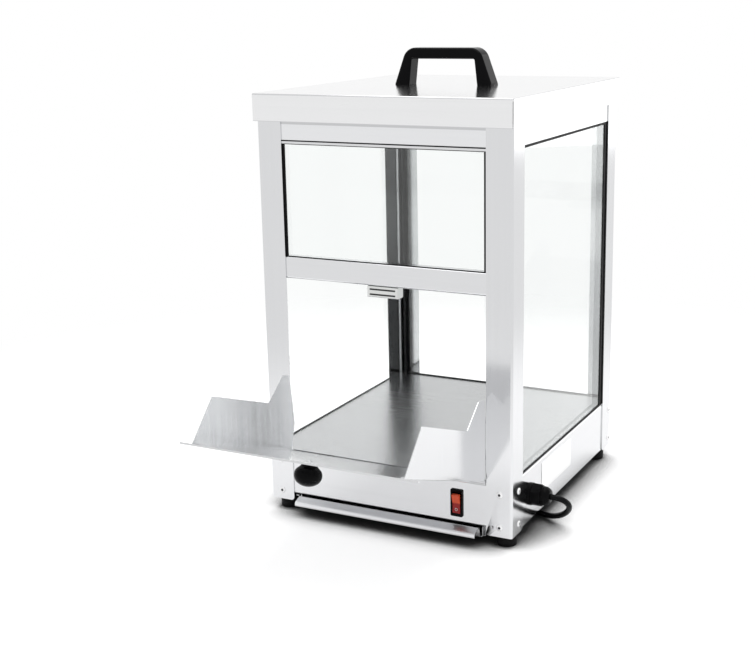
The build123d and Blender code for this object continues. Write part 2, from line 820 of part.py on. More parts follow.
# ------------------------------------------------------------------ bottom plate, tray runners and crumb tray
plate_z = post_bottom + bottom_plate_rise
plate_half_width = panel_x - panel_sheet
with BuildPart() as bottom_plate:
    with BuildSketch(Plane.XZ.offset(half_depth - bottom_plate_front_inset)):
        add(
            folded_section(
                [
                    (plate_half_width, plate_z + bottom_plate_side),
                    (plate_half_width, plate_z),
                    (-plate_half_width, plate_z),
                    (-plate_half_width, plate_z + bottom_plate_side),
                ],
                panel_sheet,
            )
        )
    extrude(amount=bottom_plate_front_inset + bottom_plate_rear_inset - body_depth)
bottom_plate.part.label = "bottom_plate"
export_step(bottom_plate.part, "parts/bottom_plate.step")

tray_bottom = post_bottom - tray_drop
runner_inner = tray_half_width + runner_side_gap
runner_outer = runner_inner + runner_sheet
runner_bottom = tray_bottom - runner_gap - runner_sheet
runner_front = panel_y - back_lip - flange_gap
with BuildPart() as tray_runners:
    with BuildSketch(Plane.XZ.offset(runner_front)):
        add(
            folded_section(
                [
                    (runner_outer + runner_flange, plate_z - runner_sheet),
                    (runner_outer, plate_z - runner_sheet),
                    (runner_outer, runner_bottom),
                    (runner_inner - runner_foot, runner_bottom),
                ],
                runner_sheet,
            )
        )
    extrude(amount=-runner_length)
    mirror(about=Plane.YZ)
tray_runners.part.label = "tray_runners"
export_step(tray_runners.part, "parts/tray_runners.step")

tray_front = -half_depth - fit_gap
tray_top = tray_slot_top - tray_lip_gap
tray_rear = tray_front + tray_depth
tray_side_start = -tray_front - tray_lean - 2 * bend
with BuildPart() as crumb_tray:
    with BuildSketch(Plane.YZ):
        add(
            folded_section(
                [
                    (tray_rear, tray_bottom + tray_wall),
                    (tray_rear, tray_bottom),
                    (tray_front + tray_lean, tray_bottom),
                    (tray_front, tray_top),
                    (tray_front - tray_lip_reach, tray_top - tray_lip_drop),
                    (tray_front - tray_lip_reach, tray_top - tray_lip_drop - tray_hem),
                ],
                tray_sheet,
            )
        )
    extrude(amount=tray_half_width - bend - tray_sheet, both=True)
    with BuildSketch(Plane.XZ.offset(tray_side_start)):
        add(
            folded_section(
                [
                    (tray_half_width, tray_bottom + tray_wall),
                    (tray_half_width, tray_bottom),
                    (-tray_half_width, tray_bottom),
                    (-tray_half_width, tray_bottom + tray_wall),
                ],
                tray_sheet,
            )
        )
    extrude(amount=-tray_side_start - tray_rear + tray_sheet)
crumb_tray.part.label = "crumb_tray"
export_step(crumb_tray.part, "parts/crumb_tray.step")

# ------------------------------------------------------------------ heater under the deck
pad_top = panel_top - heater_sheet
cover_bottom = pad_top - insulation - cover_sheet
with BuildPart() as heater_mat:
    with BuildSketch(Plane.XY.offset(panel_top)):
        RectangleRounded(heater_width, heater_depth, heater_corner)
    extrude(amount=-heater_sheet)
heater_mat.part.label = "heater_mat"
export_step(heater_mat.part, "parts/heater_mat.step")

with BuildPart() as heater_insulation:
    with BuildSketch(Plane.XY.offset(pad_top)):
        RectangleRounded(heater_width, heater_depth, heater_corner)
    extrude(amount=-insulation)
heater_insulation.part.label = "heater_insulation"
export_step(heater_insulation.part, "parts/heater_insulation.step")

stud_places = [
    (sx * (heater_width + cover_lip + cover_sheet) / 2, sy * cover_stud_pitch / 2)
    for sx in (-1, 1)
    for sy in (-1, 1)
]
cover_width = heater_width + 2 * cover_sheet
cover_depth = heater_depth + 2 * cover_sheet
lip_width = heater_width + 2 * cover_lip
lip_depth = heater_depth + 2 * cover_lip
with BuildPart() as heater_cover:
    with BuildSketch(Plane.XY.offset(cover_bottom)):
        RectangleRounded(cover_width, cover_depth, heater_corner + cover_sheet)
    extrude(amount=panel_top - cover_bottom)
    with BuildSketch(Plane.XY.offset(panel_top)):
        RectangleRounded(lip_width, lip_depth, heater_corner + cover_lip)
        with Locations(*stud_places):
            Circle(cover_stud_radius, mode=Mode.SUBTRACT)
    extrude(amount=-cover_sheet)
    with BuildSketch(Plane.XY.offset(cover_bottom + cover_sheet)):
        RectangleRounded(heater_width, heater_depth, heater_corner)
    extrude(amount=panel_top - cover_bottom, mode=Mode.SUBTRACT)
heater_cover.part.label = "heater_cover"
export_step(heater_cover.part, "parts/heater_cover.step")

with BuildPart() as cover_fixings:
    with BuildSketch(Plane.XY.offset(panel_top)):
        with Locations(*stud_places):
            Circle(cover_stud_radius)
    extrude(amount=-cover_stud_length)
    with Locations(*[(x, y, panel_top - cover_sheet - cover_nut_height) for x, y in stud_places]):
        add(hex_nut(cover_nut_width, cover_stud_radius, cover_nut_height))
cover_fixings.part.label = "cover_fixings"
export_step(cover_fixings.part, "parts/cover_fixings.step")

with BuildPart() as thermostat:
    with BuildSketch(Plane.XY.offset(cover_bottom)):
        with Locations((thermostat_x, thermostat_y)):
            SlotOverall(thermostat_ear, thermostat_radius)
    extrude(amount=-cover_sheet)
    with BuildSketch(Plane.XY.offset(cover_bottom)):
        with Locations((thermostat_x, thermostat_y)):
            Circle(thermostat_radius)
    extrude(amount=-thermostat_height)
thermostat.part.label = "thermostat"
export_step(thermostat.part, "parts/thermostat.step")

# ------------------------------------------------------------------ rocker switch
switch_z = post_bottom + switch_rise
pivot_y = -panel_y + pivot_depth
pocket_half = rocker_width / 2 + rocker_side_gap
tab_spots = [(switch_x, switch_z + row * tab_pitch) for row in (-1, 0, 1)]
with BuildPart() as switch_housing:
    with BuildSketch(Plane.XZ.offset(panel_y)):
        with Locations((switch_x, switch_z)):
            RectangleRounded(bezel_width, bezel_height, bend)
    extrude(amount=bezel_sheet)
    with BuildSketch(Plane.XZ.offset(panel_y)):
        with Locations((switch_x, switch_z)):
            Rectangle(switch_body_width, switch_body_height)
    extrude(amount=-switch_body_depth)
    with BuildSketch(Plane.XZ.offset(panel_y + bezel_sheet)):
        with Locations((switch_x, switch_z)):
            Rectangle(2 * pocket_half, rocker_window_height)
    extrude(amount=-rocker_pocket_depth, mode=Mode.SUBTRACT)
    with BuildSketch(Plane.YZ.offset(switch_x)):
        with Locations((pivot_y, switch_z)):
            Circle(rocker_pin_radius + rocker_pin_clearance)
    extrude(amount=rocker_width / 2 + rocker_pin_reach + screw_clearance, both=True, mode=Mode.SUBTRACT)
switch_housing.part.label = "switch_housing"
export_step(switch_housing.part, "parts/switch_housing.step")

rest_tilt = radians(rocker_throw)
rocker_plane = Plane(
    origin=(switch_x, pivot_y, switch_z),
    x_dir=(0, -cos(rest_tilt), -sin(rest_tilt)),
    z_dir=(-1, 0, 0),
)
with BuildPart() as switch_rocker:
    with BuildSketch(rocker_plane):
        with BuildLine():
            Polyline(
                *[(out, -up) for out, up in rocker_profile],
                *[(out, up) for out, up in reversed(rocker_profile)],
                close=True,
            )
        make_face()
    extrude(amount=rocker_width / 2, both=True)
    with BuildSketch(rocker_plane):
        Circle(rocker_pin_radius)
    extrude(amount=rocker_width / 2 + rocker_pin_reach, both=True)
switch_rocker.part.label = "switch_rocker"
export_step(switch_rocker.part, "parts/switch_rocker.step")

with BuildPart() as switch_tabs:
    with BuildSketch(Plane.XZ.offset(panel_y - switch_body_depth)):
        with Locations(*tab_spots):
            Rectangle(tab_width, tab_sheet)
    extrude(amount=-tab_length)
switch_tabs.part.label = "switch_tabs"
export_step(switch_tabs.part, "parts/switch_tabs.step")

# ------------------------------------------------------------------ cord gland
cord_radius = cord_diameter / 2
gland_z = post_bottom + gland_rise
gland_plane = Plane(origin=(panel_x, gland_y, gland_z), x_dir=(0, 1, 0), z_dir=(1, 0, 0))
gland_cap_start = gland_flange + gland_hex_length
gland_tip = gland_cap_start + gland_cap_length
with BuildPart() as gland_body:
    with BuildSketch(gland_plane.offset(-gland_thread_length)):
        Circle(gland_thread_radius)
    extrude(amount=gland_thread_length)
    with BuildSketch(gland_plane):
        Circle(gland_radius)
    extrude(amount=gland_flange)
    with BuildSketch(gland_plane.offset(gland_flange)):
        RegularPolygon(gland_hex_width / 2, 6, major_radius=False)
    extrude(amount=gland_hex_length)
    with BuildSketch(gland_plane.offset(-gland_thread_length)):
        Circle(cord_radius)
    extrude(amount=gland_thread_length + gland_cap_start, mode=Mode.SUBTRACT)
gland_body.part.label = "gland_body"
export_step(gland_body.part, "parts/gland_body.step")

with BuildPart() as gland_cap:
    with Locations(gland_plane.offset(gland_cap_start)):
        add(
            turned(
                [
                    (gland_tip_radius, gland_cap_length),
                    (cord_radius, gland_cap_length),
                    (cord_radius, 0),
                    (gland_cap_radius, 0),
                    (gland_cap_radius, 0.3 * gland_cap_length),
                ],
                crown=((gland_cap_radius + gland_tip_radius) * 0.53, 0.72 * gland_cap_length),
            )
        )
gland_cap.part.label = "gland_cap"
export_step(gland_cap.part, "parts/gland_cap.step")

with BuildPart() as gland_locknut:
    with Locations(gland_plane.offset(-panel_sheet - gland_nut_height)):
        add(hex_nut(gland_nut_width, gland_thread_radius, gland_nut_height))
gland_locknut.part.label = "gland_locknut"
export_step(gland_locknut.part, "parts/gland_locknut.step")

# ------------------------------------------------------------------ wiring inside the base
plate_top = plate_z + panel_sheet
block_middle = plate_top + block_height / 2
block_front = block_y - block_depth / 2
block_rear = block_y + block_depth / 2
with BuildPart() as terminal_block:
    with BuildSketch(Plane.XY.offset(plate_top)):
        with Locations((block_x, block_y)):
            RectangleRounded(block_width, block_depth, bend)
    extrude(amount=block_height)
terminal_block.part.label = "terminal_block"
export_step(terminal_block.part, "parts/terminal_block.step")


def tube(route, radius, bends):
    """Round tube along straight runs joined by tangent arcs."""
    with BuildPart() as run:
        with BuildLine() as path:
            FilletPolyline(*route, radius=bends)
        start = path.line @ 0
        with BuildSketch(Plane(origin=start, z_dir=path.line % 0)):
            Circle(radius)
        sweep(path=path.line)
    return run.part


tip = (panel_x + gland_tip, gland_y, gland_z)
with BuildPart() as mains_tail:
    add(
        tube(
            [
                tip,
                (block_x + tail_run, gland_y, gland_z),
                (block_x, gland_y + tail_sweep, block_middle),
                (block_x, block_front, block_middle),
            ],
            cord_radius,
            tail_bend,
        )
    )
mains_tail.part.label = "mains_tail"
export_step(mains_tail.part, "parts/mains_tail.step")

tab_end = -panel_y + switch_body_depth + tab_length
feed_x = block_x - feed_offset
with BuildPart() as base_wiring:
    add(
        tube(
            [
                (switch_x, tab_end, switch_z),
                (switch_x, tab_end + wire_run, switch_z),
                (feed_x, block_front - wire_run - wire_stagger, block_middle),
                (feed_x, block_front, block_middle),
            ],
            wire_radius,
            wire_bend,
        )
    )
    add(
        tube(
            [
                (switch_x, tab_end, switch_z + tab_pitch),
                (switch_x, tab_end + wire_run + wire_stagger, switch_z + tab_pitch),
                (thermostat_x, thermostat_y - thermostat_run, cover_bottom - thermostat_height / 2),
                (thermostat_x, thermostat_y - thermostat_radius, cover_bottom - thermostat_height / 2),
            ],
            wire_radius,
            wire_bend,
        )
    )
    landing_x = heater_width / 2 - heater_wire_inset
    for offset_x, landing_y in heater_wires:
        add(
            tube(
                [
                    (block_x + offset_x, block_rear, block_middle),
                    (block_x + offset_x, landing_y - heater_wire_run, block_middle),
                    (landing_x, landing_y, block_middle + wire_stagger),
                    (landing_x, landing_y, cover_bottom),
                ],
                wire_radius,
                wire_bend,
            )
        )
base_wiring.part.label = "base_wiring"
export_step(base_wiring.part, "parts/base_wiring.step")

# ------------------------------------------------------------------ mains cord, laid on the table
lead_route = [
    tip,
    (196.0, -118.0, 48.5),
    (204.5, -111.5, 41.0),
    (203.0, -103.0, 30.5),
    (193.0, -93.5, 19.0),
    (179.0, -83.0, 10.0),
    (163.0, -73.5, 5.0),
    (146.0, -63.0, cord_radius),
    (128.0, -50.0, cord_radius),
    (106.0, -29.0, cord_radius),
    (88.0, 4.0, cord_radius),
    (77.0, 46.0, cord_radius),
    (72.0, 92.0, cord_radius),
    (63.0, 138.0, cord_radius),
    (60.5, 184.0, cord_radius),
    (62.0, 226.0, cord_radius),
]
tail_route = [
    (12.0, 277.0, 10.5),
    (-10.0, 276.5, 9.0),
    (-32.0, 272.0, 4.0),
    (-54.0, 263.0, 3.8),
    (-74.0, 251.0, 10.0),
    (-90.0, 240.0, 10.0),
]


def bend_radii(route):
    """Bend radius at each inner point of a cord's route, as large as its two runs leave room for."""
    radii = []
    for before, here, after in zip(route, route[1:], route[2:]):
        run_in = Vector(*here) - Vector(*before)
        run_out = Vector(*after) - Vector(*here)
        half_turn = radians(run_in.get_angle(run_out)) / 2
        radii.append(cord_share * min(run_in.length, run_out.length) / tan(half_turn))
    return radii


cord_length = coil_turns * 2 * pi * coil_radius
for name, route in (("cord_lead", lead_route), ("cord_tail", tail_route)):
    radii = bend_radii(route)
    with BuildPart() as cord:
        add(tube(route, cord_radius, radii))
    cord.part.label = name
    export_step(cord.part, f"parts/{name}.step")
    cord_length += cord.part.volume / (pi * cord_radius**2)
    print(name, "bend radii", [round(radius) for radius in radii])
print("cord length", round(cord_length))

with BuildPart() as cord_coil:
    with BuildSketch(Plane.XZ):
        with Locations((coil_radius, coil_height / 2)):
            RectangleRounded(coil_band, coil_height, cord_radius)
    revolve(axis=Axis.Z)
with BuildPart() as cord_coil_laid:
    with Locations((coil_centre[0], coil_centre[1], 0)):
        add(cord_coil.part)
cord_coil_laid.part.label = "cord_coil"
export_step(cord_coil_laid.part, "parts/cord_coil.step")

# ------------------------------------------------------------------ plug
entry = Vector(*tail_route[-1])
along = (entry - Vector(*tail_route[-2])).normalized()
across = Vector(0, 0, 1).cross(along)
plug_front = entry + along * (plug_sleeve_length + plug_length)
with BuildPart() as plug_body:
    with BuildSketch(Plane(origin=entry + along * plug_sleeve_length, x_dir=across, z_dir=along)):
        RectangleRounded(plug_width, plug_height, plug_corner)
    extrude(amount=plug_length)
    fillet(plug_body.edges().group_by(Axis(entry, along))[-1], radius=bend)
    fillet(plug_body.edges().group_by(Axis(entry, along))[0], radius=2 * bend)
    with Locations(Plane(origin=entry, z_dir=along)):
        add(
            turned(
                [
                    (0, 0),
                    (plug_sleeve_tip_radius, 0),
                    (plug_sleeve_radius, plug_sleeve_length + bend),
                    (0, plug_sleeve_length + bend),
                ]
            )
        )
plug_body.part.label = "plug_body"
export_step(plug_body.part, "parts/plug_body.step")

with BuildPart() as plug_pins:
    with BuildSketch(Plane(origin=plug_front, x_dir=across, z_dir=along)):
        with Locations((-plug_pin_pitch / 2, 0), (plug_pin_pitch / 2, 0)):
            Circle(plug_pin_radius)
    extrude(amount=plug_pin_length)
plug_pins.part.label = "plug_pins"
export_step(plug_pins.part, "parts/plug_pins.step")
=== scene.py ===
import json
import logging
import math
from dataclasses import dataclass, field
from enum import Enum
from typing import Iterable, Optional, Sequence, Union

import bmesh
import bpy
from mathutils import Matrix, Vector

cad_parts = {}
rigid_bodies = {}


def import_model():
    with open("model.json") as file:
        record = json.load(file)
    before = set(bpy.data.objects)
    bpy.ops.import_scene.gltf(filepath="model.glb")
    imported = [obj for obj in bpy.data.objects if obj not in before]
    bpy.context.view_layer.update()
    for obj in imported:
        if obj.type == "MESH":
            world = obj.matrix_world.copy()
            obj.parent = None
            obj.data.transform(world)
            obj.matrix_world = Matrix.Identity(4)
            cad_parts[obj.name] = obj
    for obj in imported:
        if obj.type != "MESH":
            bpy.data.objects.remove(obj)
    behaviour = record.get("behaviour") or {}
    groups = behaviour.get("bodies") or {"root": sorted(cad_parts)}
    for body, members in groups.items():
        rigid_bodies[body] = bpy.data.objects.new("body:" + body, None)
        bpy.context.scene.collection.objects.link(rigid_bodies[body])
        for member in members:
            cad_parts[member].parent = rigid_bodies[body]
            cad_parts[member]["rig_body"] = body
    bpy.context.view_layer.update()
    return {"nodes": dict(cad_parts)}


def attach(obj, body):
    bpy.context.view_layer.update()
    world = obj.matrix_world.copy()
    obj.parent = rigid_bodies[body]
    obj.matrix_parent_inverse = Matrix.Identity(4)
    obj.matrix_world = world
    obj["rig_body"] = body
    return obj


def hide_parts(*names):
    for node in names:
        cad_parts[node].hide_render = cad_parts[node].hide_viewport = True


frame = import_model()

log = logging.getLogger("chip_warmer")
MM = 0.001


# ------------------------------------------------------------------ shader maths
class Value:
    """A number on a shader socket, so that node maths reads as arithmetic."""

    def __init__(self, coat: "Coat", socket: bpy.types.NodeSocket) -> None:
        """Wraps one output socket.

        Args:
            coat: the finish whose tree the socket is in.
            socket: the output that carries the number.
        """
        self.coat = coat
        self.socket = socket

    def _math(self, operation: str, *terms: Union["Value", float]) -> "Value":
        """Adds one Math node.

        Args:
            operation: the Math node's operation.
            terms: its inputs in order.

        Returns:
            The node's result.
        """
        return self.coat.add("ShaderNodeMath", {"operation": operation}, dict(enumerate(terms)))

    def __add__(self, other: Union["Value", float]) -> "Value":
        """Sum."""
        return self._math("ADD", self, other)

    def __sub__(self, other: Union["Value", float]) -> "Value":
        """Difference."""
        return self._math("SUBTRACT", self, other)

    def __rsub__(self, other: float) -> "Value":
        """Difference, with the number first."""
        return self._math("SUBTRACT", other, self)

    def __mul__(self, other: Union["Value", float]) -> "Value":
        """Product."""
        return self._math("MULTIPLY", self, other)

    __radd__ = __add__

    def sharpen(self, low: float, high: float) -> "Value":
        """Maps low to 0 and high to 1 along a smooth step.

        Args:
            low: the value that becomes 0.
            high: the value that becomes 1.

        Returns:
            The mapped value.
        """
        return self.coat.add(
            "ShaderNodeMapRange",
            {"interpolation_type": "SMOOTHSTEP"},
            {"Value": self, "From Min": low, "From Max": high},
        )


class Coat:
    """The node tree of one finish, around a Principled shader."""

    def __init__(self, name: str) -> None:
        """Makes the material.

        Args:
            name: the material's name.
        """
        self.material = bpy.data.materials.new(name)
        self.material.use_nodes = True
        self.tree = self.material.node_tree
        self.shader = self.tree.nodes["Principled BSDF"]
        self.place = self.add("ShaderNodeTexCoord", {}, {}, "Object")

    def add(self, kind: str, settings: dict, inputs: dict, output: Union[int, str] = 0) -> Value:
        """Adds any node.

        Args:
            kind: the node's type.
            settings: its own settings, set before its sockets.
            inputs: values or links, by socket name or number.
            output: the socket to return.

        Returns:
            The chosen output as a Value.
        """
        node = self.tree.nodes.new(kind)
        for key, value in settings.items():
            setattr(node, key, value)
        for key, value in inputs.items():
            self.feed(node.inputs[key], value)
        return Value(self, node.outputs[output])

    def feed(self, socket: bpy.types.NodeSocket, value: object) -> None:
        """Links or sets one input.

        Args:
            socket: the input.
            value: a Value, a number, or a tuple.
        """
        if isinstance(value, Value):
            self.tree.links.new(value.socket, socket)
        elif isinstance(value, tuple) and socket.type == "RGBA" and len(value) == 3:
            socket.default_value = (*value, 1.0)
        else:
            socket.default_value = value

    def set(self, **sockets: object) -> None:
        """Sets or links the Principled shader's sockets, named with underscores for spaces.

        Args:
            sockets: values or links.
        """
        for key, value in sockets.items():
            self.feed(self.shader.inputs[key.replace("_", " ")], value)

    def noise(
        self, per_metre: tuple, detail: float = 2.0, roughness: float = 0.5, shift: float = 0.0
    ) -> Value:
        """Noise stretched by axis.

        Args:
            per_metre: how many features there are to the metre along X, Y and Z.
            detail: octaves.
            roughness: strength of the finer octaves.
            shift: offset, for an independent pattern.

        Returns:
            The noise, about 0.5.
        """
        spot = self.add(
            "ShaderNodeMapping",
            {},
            {"Vector": self.place, "Scale": per_metre, "Location": (shift, shift * 0.7, shift * 1.3)},
        )
        return self.add(
            "ShaderNodeTexNoise", {}, {"Vector": spot, "Scale": 1.0, "Detail": detail, "Roughness": roughness}
        )

    def along(self, axis: str) -> Value:
        """The object coordinate along one axis.

        Args:
            axis: X, Y or Z.

        Returns:
            The coordinate in metres.
        """
        return self.add("ShaderNodeSeparateXYZ", {}, {0: self.place}, axis)

    def mix(self, factor: Value, first: tuple, second: tuple) -> Value:
        """Mixes two colours.

        Args:
            factor: 0 for the first, 1 for the second.
            first: a colour or a link.
            second: a colour or a link.

        Returns:
            The mixed colour.
        """
        node = self.tree.nodes.new("ShaderNodeMix")
        node.data_type = "RGBA"
        self.feed(node.inputs[0], factor)
        self.feed(node.inputs[6], first)
        self.feed(node.inputs[7], second)
        return Value(self, node.outputs[2])

    def bump(self, height: Value, depth: float) -> None:
        """Gives the shader a bump.

        Args:
            height: 0 to 1.
            depth: the height of 1, in metres.
        """
        bump = self.add("ShaderNodeBump", {}, {"Height": height, "Distance": depth, "Strength": 1.0})
        self.set(Normal=bump)


# ------------------------------------------------------------------ finishes
class Grain(Enum):
    """Which way a sheet was brushed."""

    ALONG_X = 0
    ALONG_Y = 1
    ALONG_Z = 2


@dataclass(frozen=True)
class BrushedSteel:
    """Satin stainless sheet with a straight brushed grain, with optional bands of painted shade."""

    name: str
    grain: Grain
    tone: float = 0.72
    roughness: float = 0.14
    streak: float = 0.08
    hair: float = 0.06
    scratch_depth: float = 0.000012
    # Heights in Object Z, each as low, high and depth, where painted shade darkens the colour.
    painted_shade_bands: tuple = ()

    def scales(self, across: float, along: float) -> tuple:
        """Feature counts per metre with the long way along the grain.

        Args:
            across: per metre across the grain.
            along: per metre along it.

        Returns:
            One count per axis.
        """
        return tuple(along if axis == self.grain.value else across for axis in range(3))

    def make(self) -> bpy.types.Material:
        """Builds the material.

        Returns:
            The finished material.
        """
        coat = Coat(self.name)
        hairline = coat.noise(self.scales(2600.0, 18.0), 3.0, 0.6)
        streaks = coat.noise(self.scales(260.0, 2.5), 2.0, 0.6, 7.0)
        cloud = coat.noise((9.0, 9.0, 9.0), 2.0, 0.5, 3.0)
        shade = (hairline - 0.5) * self.hair + (streaks - 0.5) * self.streak + 0.5 + (cloud - 0.5) * 0.06
        # Painted shade: each band darkens the colour between two heights, standing in for shade or a dark
        # reflection there.
        for low, high, depth in self.painted_shade_bands:
            height = coat.along("Z")
            inside = height.sharpen(low, low + 0.0004) * (1.0 - height.sharpen(high - 0.0004, high))
            shade = shade - inside * depth
        dark = tuple(self.tone * 0.72 * tint for tint in (0.975, 0.981, 1.0))
        light = tuple(min(1.0, self.tone * 1.25 * tint) for tint in (0.978, 0.984, 1.0))
        coat.set(
            Base_Color=coat.mix(shade, dark, light),
            Metallic=1.0,
            Roughness=self.roughness + (hairline - 0.5) * 0.08 + (cloud - 0.5) * 0.05,
        )
        coat.bump(hairline, self.scratch_depth)
        return coat.material


@dataclass(frozen=True)
class Metal:
    """Plain unbrushed metal, such as zinc, screws or brass."""

    name: str
    colour: tuple
    roughness: float = 0.3
    speckle: float = 400.0

    def make(self) -> bpy.types.Material:
        """Builds the material.

        Returns:
            The finished material.
        """
        coat = Coat(self.name)
        grain = coat.noise((self.speckle,) * 3, 3.0, 0.6)
        worn = coat.noise((60.0,) * 3, 2.0, 0.5, 5.0)
        dark = tuple(c * 0.82 for c in self.colour)
        coat.set(
            Base_Color=coat.mix(grain * 0.5 + worn * 0.5, dark, self.colour),
            Metallic=1.0,
            Roughness=self.roughness + (grain - 0.5) * 0.15 + (worn - 0.5) * 0.1,
        )
        coat.bump(grain, 0.00001)
        return coat.material


@dataclass(frozen=True)
class Moulded:
    """Moulded plastic or rubber."""

    name: str
    colour: tuple
    roughness: float = 0.4
    texture: float = 900.0
    depth: float = 0.00002
    specular: float = 0.25
    contrast: float = 0.25

    def make(self) -> bpy.types.Material:
        """Builds the material.

        Returns:
            The finished material.
        """
        coat = Coat(self.name)
        skin = coat.noise((self.texture,) * 3, 3.0, 0.6)
        handling = coat.noise((35.0,) * 3, 2.0, 0.5, 9.0)
        dark = tuple(c * (1 - self.contrast) for c in self.colour)
        light = tuple(min(1.0, c * (1 + self.contrast)) for c in self.colour)
        coat.set(
            Base_Color=coat.mix(skin * 0.4 + handling * 0.6, dark, light),
            Metallic=0.0,
            Roughness=self.roughness + (skin - 0.5) * 0.12 + (handling - 0.5) * 0.12,
            Specular_IOR_Level=self.specular,
        )
        coat.bump(skin, self.depth)
        return coat.material


@dataclass(frozen=True)
class PaintedLightPlastic:
    """Glossy translucent plastic with painted light: a painted glow above a height and painted shade below it.
    """

    name: str
    lit_colour: tuple
    shaded_colour: tuple
    change: tuple
    roughness: float = 0.2

    def make(self) -> bpy.types.Material:
        """Builds the material.

        Returns:
            The finished material.
        """
        coat = Coat(self.name)
        skin = coat.noise((700.0,) * 3, 3.0, 0.6)
        height = coat.along("Z") + (skin - 0.5) * 0.001
        coat.set(
            # Painted light: the colour steps from the shaded colour to the lit colour across the given
            # heights.
            Base_Color=coat.mix(height.sharpen(*self.change), self.shaded_colour, self.lit_colour),
            Roughness=self.roughness + (skin - 0.5) * 0.15,
            Specular_IOR_Level=0.3,
        )
        coat.bump(skin, 0.000008)
        return coat.material


@dataclass(frozen=True)
class ClearPane:
    """Clear float glass, seen through, with a mirror reflection that grows towards grazing."""

    name: str
    tint: tuple = (0.985, 0.99, 0.988)

    def make(self) -> bpy.types.Material:
        """Builds the material.

        Returns:
            The finished material.
        """
        coat = Coat(self.name)
        smear = coat.noise((14.0,) * 3, 2.0, 0.5)
        coat.set(Base_Color=(0.97, 0.98, 0.98), Metallic=1.0, Roughness=smear * 0.04 + 0.01)
        clear = coat.add("ShaderNodeBsdfTransparent", {}, {"Color": self.tint})
        facing = coat.add("ShaderNodeLayerWeight", {}, {"Blend": 0.5}, "Facing")
        grazing = coat.add("ShaderNodeMath", {"operation": "POWER"}, {0: facing, 1: 5.0})
        mixed = coat.add("ShaderNodeMixShader", {}, {0: grazing * 0.96 + 0.04, 1: clear})
        node = mixed.socket.node
        coat.tree.links.new(coat.shader.outputs[0], node.inputs[2])
        output = coat.tree.nodes["Material Output"]
        coat.tree.links.new(node.outputs[0], output.inputs["Surface"])
        return coat.material


